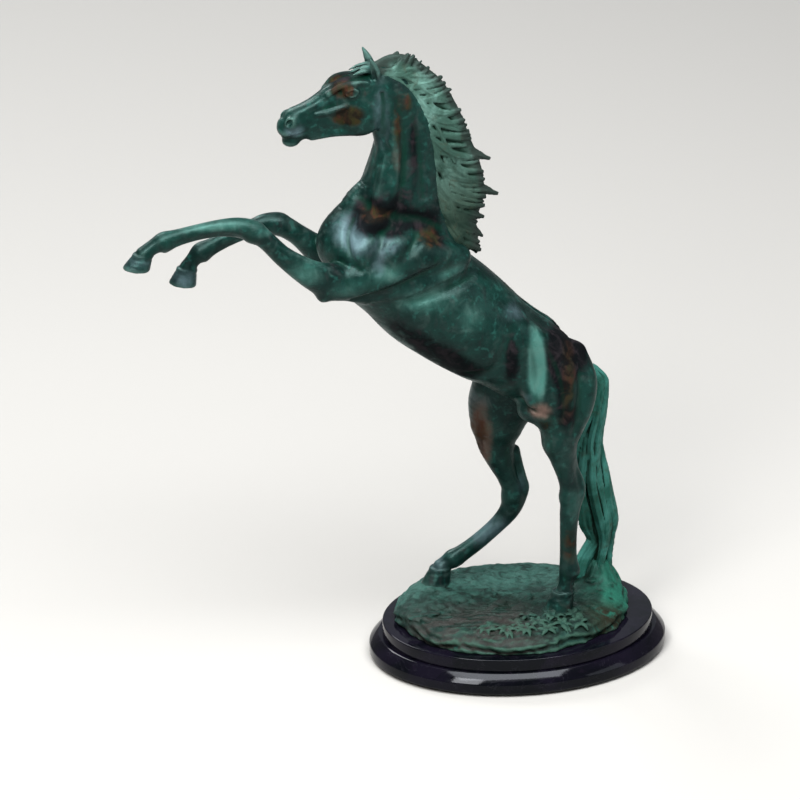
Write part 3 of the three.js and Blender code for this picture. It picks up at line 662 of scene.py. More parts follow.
# Tufts that stand out of the edge: where each leaves the root line, and the way to its tip.
TUFTS = [
    (0.40, [(-52, 1, 428), (-38, 1, 414), (-22.5, 0, 406.5)], 4.4),
    (0.56, [(-50, 1, 398), (-34, 1, 385), (-16.5, 0, 377)], 4.8),
    (0.80, [(-46, 0, 356), (-38, 0, 343), (-32.5, 0, 330.5)], 4.6),
    (0.70, [(-46, -1, 372), (-36, -1, 363), (-27, 0, 359)], 4.0),
    (0.74, [(-46, 2, 366), (-37, 2, 352), (-27.5, 1, 343)], 4.0),
    (0.50, [(-52, 3, 412), (-40, 3, 400), (-27, 2, 394.5)], 3.8),
]


def along_line(points, share):
    place = min(max(share, 0), 1) * (len(points) - 1)
    i = min(int(place), len(points) - 2)
    return np.array(points[i]) + (np.array(points[i + 1]) - np.array(points[i])) * (place - i)


def in_mane(share, out):
    """The place that lies this far down the mane and this far from its roots to its edge: x and z."""
    return along_line(CREST, share) * (1 - out) + along_line(MANE_EDGE, share) * out


def mane_thickness(out):
    return 7.6 - 5.8 * out**0.8


def mane_lock(share, run, reach, side, size, phase, start=0.0, lift=0.0):
    """A lock that leaves the roots downwards, along the neck, then bends out to the edge."""
    rows = []
    for i in range(10):
        t = i / 9
        out = start + (reach - start) * t**1.6
        x, z = in_mane(share + run * math.sin(t * math.pi / 2), out)
        ripple = 1.1 * math.sin(phase + 6 * t)
        y = side * (mane_thickness(out) * 0.84 + lift * (1 - 0.5 * t))
        full = (0.7 + 0.75 * t) if t < 0.4 else 1 - 0.5 * ((t - 0.4) / 0.6) ** 2.5
        rows.append((x + ripple * 0.5, y, z + ripple, size * full, size * 0.8 * full))
    return Sweep(rows, steps=3, ridges=(7, 0.5, phase))


def hairline_lock(first, last, out, side, size, phase):
    """A strand that keeps to the roots, along the neck."""
    rows = []
    for i in range(9):
        t = i / 8
        x, z = in_mane(first + (last - first) * t, out + 0.05 * math.sin(phase + 5 * t) + 0.25 * t**3)
        full = max(0.3, math.sin(math.pi * (0.12 + 0.8 * t)) ** 0.5)
        rows.append((x, side * (mane_thickness(out) * 0.86 + 0.7), z, size * full, size * full))
    return Sweep(rows, steps=3, ridges=(6, 0.4, phase))


# Long strands along the neck: the shares of the root line where each starts and ends, how far out from
# the crest it runs, and its half width.
LONG_STRANDS = (
    (0.0, 0.42, 0.05, 2.2), (0.04, 0.62, 0.14, 1.9), (0.25, 0.85, 0.04, 2.1),
    (0.42, 0.97, 0.12, 1.9), (0.0, 0.3, 0.24, 1.8), (0.62, 1.0, 0.03, 2.0),
)
TUFT_FULLNESS = (1.2, 1.1, 0.36)  # a tuft's width at its places, as shares of its size


def shape_mane(field):
    rng = np.random.default_rng(7)
    shares = np.linspace(0, 1, 22)
    for out, spread in ((0.12, 0.21), (0.38, 0.21), (0.64, 0.19), (0.84, 0.13)):
        rows = []
        for share in shares:
            x, z = in_mane(share, out)
            gap = np.linalg.norm(along_line(MANE_EDGE, share) - along_line(CREST, share))
            rows.append((x, 0, z, max(gap * spread, 2.2),
                mane_thickness(out) * (0.5 if share < 0.06 else 0.86)))
        field.add(Sweep(rows, steps=2), 2)
    for start, tips, size in TUFTS:
        x, z = in_mane(start, 0.25)
        rows = [(x, tips[0][1], z, size * 0.8, size * 0.8)]
        for place, full in zip(tips, TUFT_FULLNESS):
            rows.append((*place, size * full, size * full * 0.8))
        field.add(Sweep(rows, steps=5, ridges=(8, 0.8, start * 40)), 1.0)
    for side in SIDES:
        count = 25
        for i in range(count):
            share = i / (count - 1) * 0.93 + rng.uniform(-0.008, 0.008)
            run = rng.uniform(0.10, 0.15) * min(1, (1 - share) / 0.1)
            field.add(mane_lock(share, run, rng.uniform(0.90, 1.0), side, rng.uniform(2.9, 3.8),
                                rng.uniform(0, 6.28), lift=rng.uniform(-0.5, 0.9)), 0.3)
        for i in range(46):
            share = rng.uniform(0, 0.94)
            run = rng.uniform(0.08, 0.14) * min(1, (1 - share) / 0.1)
            field.add(mane_lock(share, run, rng.uniform(0.75, 1.01), side, rng.uniform(1.7, 2.4),
                                rng.uniform(0, 6.28), rng.uniform(0, 0.4), rng.uniform(0.3, 1.6)), 0.25)
        for first, last, out, size in LONG_STRANDS:
            field.add(hairline_lock(first, last, out, side, size, rng.uniform(0, 6.28)), 0.35)
    return field


TAIL = [
    (46, 0, 227, 5.5, 5.5), (54.5, 1, 224, 7, 7), (60.5, 3, 214, 8.5, 9), (60.5, 5, 206, 9.5, 11),
    (57.2, 7, 185, 11.5, 13), (54.5, 9, 165, 12.8, 14), (55, 10, 148, 13.5, 14),
    (58.2, 11, 130, 14, 13.5), (62.5, 12, 110, 14, 12.5), (66, 13, 92, 14.5, 11.5),
    (68.5, 14, 78, 9.5, 9.5), (68, 14, 64, 8, 8.5), (67, 14, 50, 9, 10),
]


def shape_tail(field):
    rng = np.random.default_rng(3)
    core = np.array(TAIL)
    inner = core.copy()
    inner[:, 3:] *= 0.7
    field.add(Sweep(inner), 1)
    for count, thick, depth in ((11, 5.4, 0.66), (14, 3.4, 0.84)):
        for i in range(count):
            angle = 2 * math.pi * i / count + rng.uniform(-0.2, 0.2)
            turn = rng.uniform(0.7, 2.0)
            wave = rng.uniform(0, 6.28)
            first = rng.choice([0, 0, 1, 2, 3])
            last = len(core) - rng.choice([0, 0, 0, 1, 2])
            rows = []
            for j in range(first, last):
                x, y, z, deep, wide = core[j]
                t = (j - first) / (last - first - 1)
                a = angle + turn * t + 0.32 * math.sin(wave + 8 * t)
                out = depth + 0.11 * math.sin(wave + 9 * t)
                end = 0.75 if last == len(core) else 0.98
                size = thick * min(1,
                    deep / 11) * math.sin(math.pi * (0.16 + (end - 0.16) * t)) ** 0.6 + 0.4
                rows.append((x + math.sin(a) * deep * out, y + math.cos(a) * wide * out, z, size,
                    size * 0.75))
            outward = (math.sin(angle + turn / 2 + 1.57), math.cos(angle + turn / 2 + 1.57), 0.05)
            field.add(Sweep(rows, flat=outward, steps=4, ridges=(7, 0.8, wave)), 0.5)
    for reach, deep in ((0, 3.4), (-4, 3.0), (3, 3.0)):  # locks that spread towards the hooves
        foot = [(63 + reach, 12, 74, deep, 3), (57 + reach, 11, 65, deep, 3),
            (52.5 + reach, 9.5, 57, deep, 3),
                (50 + reach, 8, 48, 2.4, 3)]
        field.add(Sweep(foot, ridges=(6, 0.6, reach)), 0.8)
    return field


def shape_forelock(field):
    for i, (tip_x, tip_z, y, size) in enumerate([(-132, 487.6, -3.8, 2.2), (-134, 487.4, 0, 2.4),
        (-131, 488.2, 3.8, 2.2),
                                               (-127, 491.4, -1.8, 2.3), (-126, 491.8, 2.2, 2.2)]):
        lock = strand((-108, y * 0.8, 487.5), (tip_x, y * 1.3, tip_z), 3.8, y * 0.3, (size, 2.5),
            ridges=(6, 0.6, i))
        field.add(lock, 0.7)
    return field


# ---------------------------------------------------------------- the bronze ground

GROUND_CENTRE = (-4.0, 0.0)
GROUND_HALF = (88.0, 71.0)
GROUND_FLOOR = 27.0
MOUNDS = [(-60, 28, 6.5, 30), (67, 12, 18, 21), (40, -25, 2.5, 22), (-20, 45, 1.5, 26)]


PLANTS = [
    (-36, -48), (-23, -55), (-8, -55), (8, -59), (-14, -43), (3, -46), (21, -54), (17, -39), (33, -42),
    (-28, -39), (-2, -33), (34, -53),
]


def wave_noise(x, y, seed, scale, count=10):
    """Smooth seeded noise about 0, as a sum of waves."""
    rng = np.random.default_rng(seed)
    total = np.zeros_like(x)
    for _ in range(count):
        a = rng.uniform(0, 2 * math.pi)
        f = 2 * math.pi / (scale * rng.uniform(0.6, 1.8))
        total += np.sin(f * (x * math.cos(a) + y * math.sin(a)) + rng.uniform(0, 6.28)).astype(np.float32)
    return total / math.sqrt(count)


class Ground:
    """The rough earth: an oval slab with steep broken sides, mounds, ledges of rock and a rippled top."""

    def __init__(self):
        self.low = np.array([GROUND_CENTRE[0] - GROUND_HALF[0] - 6, -GROUND_HALF[1] - 6, GROUND_FLOOR - 1])
        self.high = np.array([GROUND_CENTRE[0] + GROUND_HALF[0] + 6, GROUND_HALF[1] + 6, 62])

    def height(self, x, y):
        out = np.hypot((x - GROUND_CENTRE[0]) / GROUND_HALF[0], y / GROUND_HALF[1])
        top = np.full_like(x, 12.6)
        for mx, my, rise, spread in MOUNDS:
            top += rise * np.exp(-((x - mx) ** 2 + (y - my) ** 2) / spread**2)
        # ledges of rock towards the front left, which break across the slope
        rock = np.clip(1.25 - np.hypot((x + 34) / 46, (y + 30) / 30), 0, 1)
        across = 0.25 * x + y + 3 * wave_noise(x, y, 5, 40)
        step = (across / 5.2) % 1
        top += rock * 2.4 * (np.clip(step * 3, 0, 1) - step)
        top += 0.45 * wave_noise(x, y, 11, 14) + 0.25 * wave_noise(x, y, 12, 6)
        edge = np.clip(1 - out, 0, 1)
        return GROUND_FLOOR + top * (0.62 + 0.38 * np.clip(edge / 0.16, 0, 1) ** 0.6)

    def distance(self, p):
        x, y, z = p.T
        angle = np.arctan2(y / GROUND_HALF[1], (x - GROUND_CENTRE[0]) / GROUND_HALF[0])
        wobble = 0.018 * np.sin(3 * angle + 0.6) + 0.012 * np.sin(7 * angle) + 0.008 * np.sin(17 * angle + 1)
        out = np.hypot((x - GROUND_CENTRE[0]) / GROUND_HALF[0], y / GROUND_HALF[1]) / (1 + wobble)
        ledge = 0.9 * np.sin(z * 0.9 + 2 * wave_noise(x, y, 21, 50)) + 0.5 * wave_noise(x + z, y - z, 22, 9)
        bank = 0.35 * np.clip(z - GROUND_FLOOR - 6, 0, 20)
        side = (out - 1) * min(GROUND_HALF) + bank + ledge
        top = (z - self.height(x, y)) * 0.85
        h = np.maximum(3 - np.abs(side - top), 0) / 3
        d = np.maximum(side, top) + h * h * 0.75
        return np.maximum(d, GROUND_FLOOR - z).astype(np.float32)


def ground_height(x, y):
    return float(Ground().height(np.array([x], np.float32), np.array([y], np.float32))[0])


def shape_ground(field):
    field.add(Ground(), 0.5)
    rng = np.random.default_rng(19)
    # broken stones lying on the front left
    for _ in range(34):
        x, y = rng.uniform(-84, 6), rng.uniform(-58, 18)
        if math.hypot((x + 4) / 84, y / 64) > 0.93:
            continue
        z = ground_height(x, y)
        size = rng.uniform(3.5, 8)
        stone = Ellipsoid((x, y, z + rng.uniform(-1.4, 0)),
            (size * rng.uniform(1.2, 2.2), size * 0.8, rng.uniform(1.2, 2.4)),
                          turn=rng.uniform(-14, 14), lean=rng.uniform(-12, 12), yaw=rng.uniform(-25, 25))
        field.add(stone, 0.5)
    # plants towards the front right, each a ring of pointed leaves
    for px, py in PLANTS:
        leaves = rng.integers(6, 8)
        for i in range(leaves):
            a = 2 * math.pi * i / leaves + rng.uniform(-0.3, 0.3)
            length, rise = rng.uniform(6.5, 10), rng.uniform(1.0, 2.4)
            bend = rng.uniform(-0.5, 0.5)
            rows = []
            for t, wide, arch in ((0.1, 0.9, 0.3), (0.4, 2.1, 0.9), (0.7, 1.7, 0.9), (1, 0.35, 0.2)):
                x = px + math.cos(a + bend * t) * length * t
                y = py + math.sin(a + bend * t) * length * t
                rows.append((x, y, ground_height(x, y) - 0.1 + rise * arch, 0.9, wide))
            field.add(Sweep(rows, flat=(-math.sin(a), math.cos(a), 0), steps=4), 0.3)
    # clods and tufts elsewhere
    for _ in range(90):
        x, y = rng.uniform(-86, 80), rng.uniform(-64, 64)
        if math.hypot((x + 4) / 82, y / 65) > 0.95:
            continue
        z = ground_height(x, y)
        size = rng.uniform(1.5, 4)
        clod = Ellipsoid((x, y, z - 0.4), (size * 1.3, size, rng.uniform(0.8, 1.8)),
            yaw=rng.uniform(0, 180),
                         lean=rng.uniform(-15, 15))
        field.add(clod, 1.2)
    # the hair spreads a little over its mound
    for i in range(12):
        a = i * 2 * math.pi / 12 + rng.uniform(-0.2, 0.2)
        foot = (66 + math.cos(a) * 5, 13 + math.sin(a) * 5)
        reach = rng.uniform(8, 14)
        rows = []
        for t in (0, 0.35, 0.7, 1):
            x, y = foot[0] + math.cos(a) * reach * t, foot[1] + math.sin(a) * reach * t
            rows.append((x, y, ground_height(x, y) + (1.5 - 2.5 * t), 2.4 * (1 - 0.7 * t),
                3.2 * (1 - 0.6 * t)))
        field.add(Sweep(rows, flat=(-math.sin(a), math.cos(a), 0), steps=3, ridges=(6, 0.5, i)), 1.6)
    return field

# ---------------------------------------------------------------- pieces

# The seams between the cast sections: a point on the seam, its normal, and a point of the limb beyond it.
SEAMS = {
    "neck": ((-97, 0, 358), (0.25, 0, 0.97), (-90, -22, 372)),
    ("fore", -1): ((-167, -25, 340), (-0.8, 0, 0.6), (-177, -25, 346.5)),
    ("fore", 1): ((-163, 22, 348.5), (-0.74, 0, 0.67), (-171, 22, 355)),
    ("hind", -1): ((26, -26, 177), (0.2, 0, -0.98), (24, -36, 168)),
    ("hind", 1): ((-9, 27, 169), (-0.02, 0, -1), (-9, 38, 160)),
}


def beyond_seam(bm, seam):
    """Cuts the mesh along a seam's plane, and returns the faces of the limb that the seam ends."""
    point, normal, inside = seam
    everything = bm.verts[:] + bm.edges[:] + bm.faces[:]
    made = bmesh.ops.bisect_plane(bm, geom=everything, plane_co=Vector(point) * MM,
        plane_no=Vector(norm(normal)),
                                  dist=1e-8)
    wall = {e for e in made["geom_cut"] if isinstance(e, bmesh.types.BMEdge)}
    target, origin, ahead = Vector(inside) * MM, Vector(point) * MM, Vector(norm(normal))
    past = [f for f in bm.faces if (f.calc_center_median() - origin).dot(ahead) > 0]
    start = min(past, key=lambda f: (f.verts[0].co - target).length_squared)
    found, stack = {start}, [start]
    while stack:
        for edge in stack.pop().edges:
            if edge not in wall:
                for face in edge.link_faces:
                    if face not in found:
                        found.add(face)
                        stack.append(face)
    return found


def close_rims(bm):
    rims = [e for e in bm.edges if e.is_boundary]
    for edge in rims:
        edge.smooth = False
    bmesh.ops.holes_fill(bm, edges=rims, sides=0)


def new_piece(name, verts, quads, node, slot, attributes=None, keep=None, drop=()):
    """A mesh piece in metres that stands for one CAD node. keep is the seam whose limb it is, and drop the
    seams whose limbs aren't part of it."""
    mesh = bpy.data.meshes.new(name)
    mesh.vertices.add(len(verts))
    mesh.vertices.foreach_set("co", (np.asarray(verts, float) * MM).ravel())
    mesh.loops.add(quads.size)
    mesh.loops.foreach_set("vertex_index", quads.ravel().astype(np.int32))
    mesh.polygons.add(len(quads))
    mesh.polygons.foreach_set("loop_start", np.arange(0, quads.size, quads.shape[1], dtype=np.int32))
    mesh.polygons.foreach_set("use_smooth", np.ones(len(quads), bool))
    for key, values in (attributes or {}).items():
        mesh.attributes.new(key, "FLOAT", "POINT").data.foreach_set("value", values.astype(np.float32))
    mesh.update(calc_edges=True)
    mesh.validate()
    bm = bmesh.new()
    bm.from_mesh(mesh)
    if keep:
        kept = beyond_seam(bm, keep)
        bmesh.ops.delete(bm, geom=[f for f in bm.faces if f not in kept], context="FACES")
    for seam in drop:
        bmesh.ops.delete(bm, geom=list(beyond_seam(bm, seam)), context="FACES")
    keep_largest(bm)
    close_rims(bm)
    bm.to_mesh(mesh)
    bm.free()
    piece = bpy.data.objects.new(name, mesh)
    bpy.context.scene.collection.objects.link(piece)
    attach(piece, "root")
    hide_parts(node)
    return piece


def keep_largest(bm):
    """Drops stray islands."""
    seen, groups = set(), []
    for face in bm.faces:
        if face in seen:
            continue
        group, stack = [face], [face]
        seen.add(face)
        while stack:
            for edge in stack.pop().edges:
                for other in edge.link_faces:
                    if other not in seen:
                        seen.add(other)
                        group.append(other)
                        stack.append(other)
        groups.append(group)
    largest = max(groups, key=len)
    stray = [face for group in groups if group is not largest for face in group]
    if stray:
        bmesh.ops.delete(bm, geom=stray, context="FACES")
    loose = [v for v in bm.verts if not v.link_faces]
    bmesh.ops.delete(bm, geom=loose, context="VERTS")


# Where the colour turns to another: centre, radii and strength. Brown is patina; pale, blue and tan are
# partly painted highlights, and dark is partly painted shade, as noted at each. Left and right are alike but
# for `y`.
WASHES = {
    "brown": [
        ((-134, 12, 459), (12, 12, 8), 1.1), ((-139, 11, 480), (11, 12, 6), 0.9),
        ((-97, 14, 444), (5.5, 12, 34), 0.62), ((-87, 13, 464), (5, 12, 17), 0.55),
        ((-115, 20, 380), (14, 20, 8), 0.75), ((-74, 24, 358), (13, 20, 9), 0.7),
        ((31, 20, 252), (8, 30, 20), 0.5), ((29, 33, 218), (8, 18, 22), 0.6),
        ((-23, 26, 170), (10, 22, 34), 0.7), ((-10, 0, 304), (62, 14, 12), 0.5),
        ((-212, 26, 372), (12, 12, 8), 0.4), ((33, 26, 95), (8, 12, 22), 0.7),
        ((24, 26, 40), (14, 14, 14), 0.6), ((12, 36, 199), (9, 12, 8), 0.6),
    ],
    # partly paler verdigris, partly painted highlights, as on the haunch and ribs
    "pale": [
        ((6, 35, 254), (6, 12, 25), 1.6), ((5, 35, 238), (5, 12, 12), 0.7),
        ((-46, 34, 293), (15, 16, 18), 0.5), ((-172, 28, 344), (15, 12, 11), 0.9),
        ((-84, 30, 311), (20, 16, 12), 0.72), ((-110, 30, 338), (14, 14, 9), 0.7),
        ((-205, 27, 380), (14, 12, 5), 0.6), ((9, 35, 205), (9, 12, 6), 0.3),
        ((-240, 25, 388), (30, 10, 4), 0.8), ((-141, 28, 328), (16, 12, 10), 0.7),
        ((26, 26, 172), (9, 14, 16), 0.7), ((35, 26, 128), (8, 12, 14), 0.6),
        ((-100, 14, 400), (10, 14, 16), 0.35), ((-60, 26, 330), (14, 14, 8), 0.6),
    ],
    # partly blue-grey patina, partly painted highlights on the chest, the front of the neck and the face
    "blue": [
        ((-132, 20, 366), (7.5, 14, 14), 1.6), ((-108, 27, 358), (13, 16, 8), 0.75),
        ((-109, 13, 456), (8, 14, 34), 0.62), ((-156, 8, 470), (9, 12, 5), 0.35),
        ((-165, 8, 460), (8, 12, 5), 0.3), ((-175, 8, 449), (8, 12, 5), 1.0),
        ((-1, 34, 222), (7, 10, 5), 0.5), ((-117, 28, 341), (6, 14, 9), 0.8),
        ((-300, 25, 364), (12, 12, 8), 0.7), ((-252, 22, 326), (10, 12, 8), 1.1),
        ((-56, 30, 63), (12, 12, 10), 0.6), ((-145, 14, 367), (8, 14, 13), 0.5),
        ((-5, 25, 290), (18, 14, 8), 0.7), ((-20, 26, 200), (13, 16, 10), 0.75),
        ((-10, 30, 84), (24, 14, 14), 0.85), ((-38, 26, 330), (20, 14, 6), 0.5),
        ((9, 28, 122), (9, 12, 12), 0.6), ((20, 26, 190), (8, 14, 8), 0.5),
    ],
    # reddish patina on the gaskin, and a painted highlight on the stifle
    "tan": [
        ((-23, 26, 166), (8, 20, 32), 1.3), ((8, 35, 211), (9, 12, 8), 1.05),
        ((-98, 14, 424), (5.5, 12, 20), 0.62), ((-16, 30, 206), (9, 14, 12), 0.5),
        ((-121, 14, 476), (8, 12, 5), 0.4), ((-130, 18, 352), (5, 12, 8), 0.4),
    ],
    # partly darker patina on the rump and haunch, partly painted shade under the belly, chest and jaw,
    # between the legs and in folds
    "dark": [
        ((-96, 28, 345), (12, 14, 9), 0.5), ((-92, 22, 371), (26, 20, 7), 1.0),
        ((-13, 34, 255), (6.5, 18, 24), 0.9), ((-101, 20, 289), (15, 26, 11), 0.45),
        ((-86, 20, 277), (15, 26, 12), 0.55), ((-71, 20, 266), (15, 26, 13), 0.6),
        ((-57, 20, 255), (15, 26, 13), 0.65), ((-43, 20, 245), (15, 26, 13), 0.65),
        ((-66, 22, 357), (12, 18, 10), 0.7), ((-149, 30, 345), (9, 12, 6), 0.5),
        ((38, 0, 250), (13, 30, 18), 1.2), ((24, 30, 232), (7, 14, 30), 0.9),
        ((-84, 12, 440), (4, 14, 26), 0.5), ((0, 0, 230), (40, 14, 14), 0.7),
        ((-130, 0, 312), (26, 14, 12), 0.6), ((-128, 12, 440), (24, 12, 4), 0.7),
        ((-138, 0, 486), (12, 14, 8), 1.0), ((-115, 22, 380), (20, 20, 12), 1.2),
        ((28, 30, 256), (14, 18, 16), 1.1), ((-86, 14, 420), (10, 14, 24), 0.32),
        ((-97, 16, 394), (14, 14, 14), 0.4), ((-66, 18, 400), (12, 14, 26), 0.5),
        ((30, 30, 205), (10, 16, 14), 0.8), ((36, 26, 70), (10, 12, 12), 0.5),
    ],
}


WASH_FALL = 0.8  # how fast a wash fades with the square of the distance, in its own radii
RELIEF_REACH, FINE_REACH = 3.0, 1.2  # how wide a hollow or a ridge the two relief attributes see, in mm
MANE_MIDDLE_Z, MANE_HALF_HEIGHT = 403, 77
TIP_FADE = 8.0  # how far in from the mane's edge the dark tips reach, in mm
EDGE_SAMPLES = 120


def wash(kind, verts):
    """How strongly each vertex takes one of the washes, which are patina colours, in part painted highlights
    and painted shade.
    """
    mirrored = verts * (1, -1, 1)
    total = np.zeros(len(verts))
    for centre, radii, strength in WASHES[kind]:
        near = (((verts - centre) / radii) ** 2).sum(1)
        far = (((mirrored - centre) / radii) ** 2).sum(1)
        total += strength * np.exp(-np.minimum(near, far) * WASH_FALL)
    return total


def field_piece(name, field, node, slot, **seams):
    """A piece from a field's surface, with the vertex attributes that its material reads."""
    verts, quads = field.surface()
    attributes = {
        "relief": field.sample(field.relief(RELIEF_REACH), verts)[0],
        "fine": field.sample(field.relief(FINE_REACH), verts)[0],
    }
    if slot == "body_bronze":
        attributes |= {kind: wash(kind, verts) for kind in WASHES}
    if slot == "hair_bronze":
        edge = np.array([along_line(MANE_EDGE, share) for share in np.linspace(0, 1, EDGE_SAMPLES)])
        gap = np.hypot(verts[:, :1] - edge[:, 0], verts[:, 2:] - edge[:, 1]).min(1)
        beyond = verts[:, 0] > np.interp(verts[:, 2], edge[::-1, 1], edge[::-1, 0])
        beyond &= np.abs(verts[:, 2] - MANE_MIDDLE_Z) < MANE_HALF_HEIGHT
        attributes["tip"] = np.where(beyond, 1.0, np.exp(-((gap / TIP_FADE) ** 2)))
    return new_piece(name, verts, quads, node, slot, attributes, **seams)


def build_figure(fine=1.0):
    pieces = {}
    torso = shape_flesh(Field((-188, -46, 160), (64, 46, 380), 1.2 * fine))
    pieces["torso"] = field_piece("torso", torso, "torso_casting", "body_bronze", drop=list(SEAMS.values()))
    head = shape_flesh(Field((-192, -34, 338), (-40, 34, 510), 0.8 * fine))
    shape_forelock(head)
    pieces["neck_and_head"] = field_piece("neck_and_head", head, "neck_and_head_casting", "body_bronze",
                                          keep=SEAMS["neck"])
    windows = {
        ("fore", -1): ((-316, -42, 300), (-140, -8, 400)),
        ("fore", 1): ((-270, 6, 300), (-128, 40, 385)),
        ("hind", -1): ((4, -46, 36), (56, -8, 196)),
        ("hind", 1): ((-74, 10, 41), (24, 48, 190)),
    }
    names = {("fore", -1): "left_foreleg", ("fore", 1): "right_foreleg", ("hind", -1): "left_hind_leg",
             ("hind", 1): "right_hind_leg"}
    for key, (low, high) in windows.items():
        leg = shape_flesh(Field(low, high, 0.9 * fine))
        leg.add(Hoof(*HOOVES[key]), 0.8)
        pieces[names[key]] = field_piece(names[key], leg, names[key], "body_bronze", keep=SEAMS[key])
    mane = shape_mane(Field((-126, -20, 318), (-6, 20, 508), 0.8 * fine))
    pieces["mane"] = field_piece("mane", mane, "mane_casting", "hair_bronze")
    tail = shape_tail(Field((34, -20, 44), (88, 36, 246), 0.8 * fine))
    pieces["tail"] = field_piece("tail", tail, "tail_casting", "hair_bronze")
    ground = shape_ground(Field((-98, -78, 26), (92, 78, 64), 0.9 * fine))
    pieces["ground"] = field_piece("ground", ground, "ground_casting", "ground_bronze")
    return pieces

# ---------------------------------------------------------------- the base

BASE_HALF = (113.0, 89.0)
OVAL_SHARE = BASE_HALF[1] / BASE_HALF[0]
# The underside, the height, how far in the slab stands, its bottom round, and the arcs of its shoulder: the
# angle of the surface at the end of each, and its radius.
SLABS = {
    "lower_marble_slab": (2.0, 15.0, 0.0, 1.5, ((38, 2.0), (54, 33.0), (90, 2.0))),
    "upper_marble_slab": (17.0, 10.0, 10.0, 1.0, ((90, 0.9),)),
}
FELT_THICKNESS, FELT_INSET = 2.0, 5.0


def oval_piece(name, profile, node, slot, sectors=224):
    """An oval turned from a profile of inset and height: closed, with a ring of quads for each step."""
    angles = np.linspace(0, 2 * math.pi, sectors, endpoint=False)
    rings = []
    for inset, z in profile:
        across = OVAL_SHARE * (BASE_HALF[0] - inset)
        rings.append(np.stack([(BASE_HALF[0] - inset) * np.cos(angles), across * np.sin(angles),
                               np.full(sectors, z)], 1))
    count = len(rings)
    ring, sector = np.meshgrid(np.arange(count - 1), np.arange(sectors), indexing="ij")
    after = (sector + 1) % sectors
    quads = np.stack([ring * sectors + sector, ring * sectors + after, (ring + 1) * sectors + after,
                      (ring + 1) * sectors + sector], -1).reshape(-1, 4)
    return new_piece(name, np.vstack(rings), quads, node, slot)


def slab_profile(bottom, height, inset, foot, shoulder):
    """From the middle of the underside, round the edge, to the middle of the top."""
    top = bottom + height
    reach = BASE_HALF[0] - inset
    points = [(BASE_HALF[0] - reach * share, bottom) for share in (0.02, 0.3, 0.6, 0.9)]
    for i in range(5):
        a = i / 4 * math.pi / 2
        points.append((inset + foot * (1 - math.sin(a)), bottom + foot * (1 - math.cos(a))))
    points.append((inset, 0))  # where the shoulder starts: its height is set below
    start, first = 0.0, len(points) - 1
    for end, radius in shoulder:
        for i in range(1, 9):
            a, b = (math.radians(start + (end - start) * share / 8) for share in (i - 1, i))
            x, z = points[-1]
            points.append((x + radius * (math.cos(a) - math.cos(b)),
                z + radius * (math.sin(b) - math.sin(a))))
        start = end
    rise = top - points[-1][1]
    points[first:] = [(x, z + rise) for x, z in points[first:]]
    return points + [(BASE_HALF[0] - reach * share, top) for share in (0.85, 0.6, 0.3, 0.02)]


def felt_profile():
    reach = BASE_HALF[0] - FELT_INSET
    thick = FELT_THICKNESS
    flat = [(BASE_HALF[0] - reach * share, 0.0) for share in (0.02, 0.3, 0.6, 0.9)]
    rim = [(FELT_INSET + 0.3, 0.05), (FELT_INSET, 0.35), (FELT_INSET - 0.1, thick / 2),
        (FELT_INSET, thick - 0.3)]
    return flat + rim + [(BASE_HALF[0] - reach * share, thick - 0.05) for share in (0.99, 0.6, 0.3, 0.02)]


def build_base():
    pieces = {}
    for node, shape in SLABS.items():
        pieces[node] = oval_piece(node.replace("slab", "stone"), slab_profile(*shape), node, "marble")
    pieces["felt"] = oval_piece("felt", felt_profile(), "felt_pad", "felt")
    return pieces

# ---------------------------------------------------------------- camera and light

AZIMUTH, ELEVATION = math.radians(-14.6), math.radians(25.0)
CAMERA_DISTANCE = 20.0
MIDDLE = 0.11  # how much nearer than the base's centre the middle of the horse is to the camera
SCALE = 1333.0  # the image's pixels to a metre at that middle, on an 800-pixel frame
AIM_RIGHT, AIM_UP = -0.0885, 0.1853  # the frame's centre, seen from the base's centre


def set_camera():
    back = Vector((math.sin(AZIMUTH) * math.cos(ELEVATION), -math.cos(AZIMUTH) * math.cos(ELEVATION),
                   math.sin(ELEVATION)))
    right = Vector((math.cos(AZIMUTH), math.sin(AZIMUTH), 0))
    up = back.cross(right)
    camera = bpy.data.objects.new("camera", bpy.data.cameras.new("camera"))
    bpy.context.scene.collection.objects.link(camera)
    camera.location = right * AIM_RIGHT + up * AIM_UP + back * CAMERA_DISTANCE
    camera.rotation_mode = "QUATERNION"
    camera.rotation_quaternion = (-back).to_track_quat("-Z", "Y")
    camera.data.sensor_width = 36
    camera.data.lens = SCALE * (CAMERA_DISTANCE - MIDDLE) * 36 / 800
    camera.data.clip_end = 100
    bpy.context.scene.camera = camera


def area_light(name, place, aim, size, power, colour=(1, 1, 1)):
    data = bpy.data.lights.new(name, "AREA")
    data.shape, data.size, data.size_y = "RECTANGLE", size[0], size[1]
    data.energy, data.color = power, colour
    light = bpy.data.objects.new(name, data)
    light.location = place
    light.rotation_mode = "QUATERNION"
    light.rotation_quaternion = (Vector(aim) - Vector(place)).to_track_quat("-Z", "Y")
    bpy.context.scene.collection.objects.link(light)


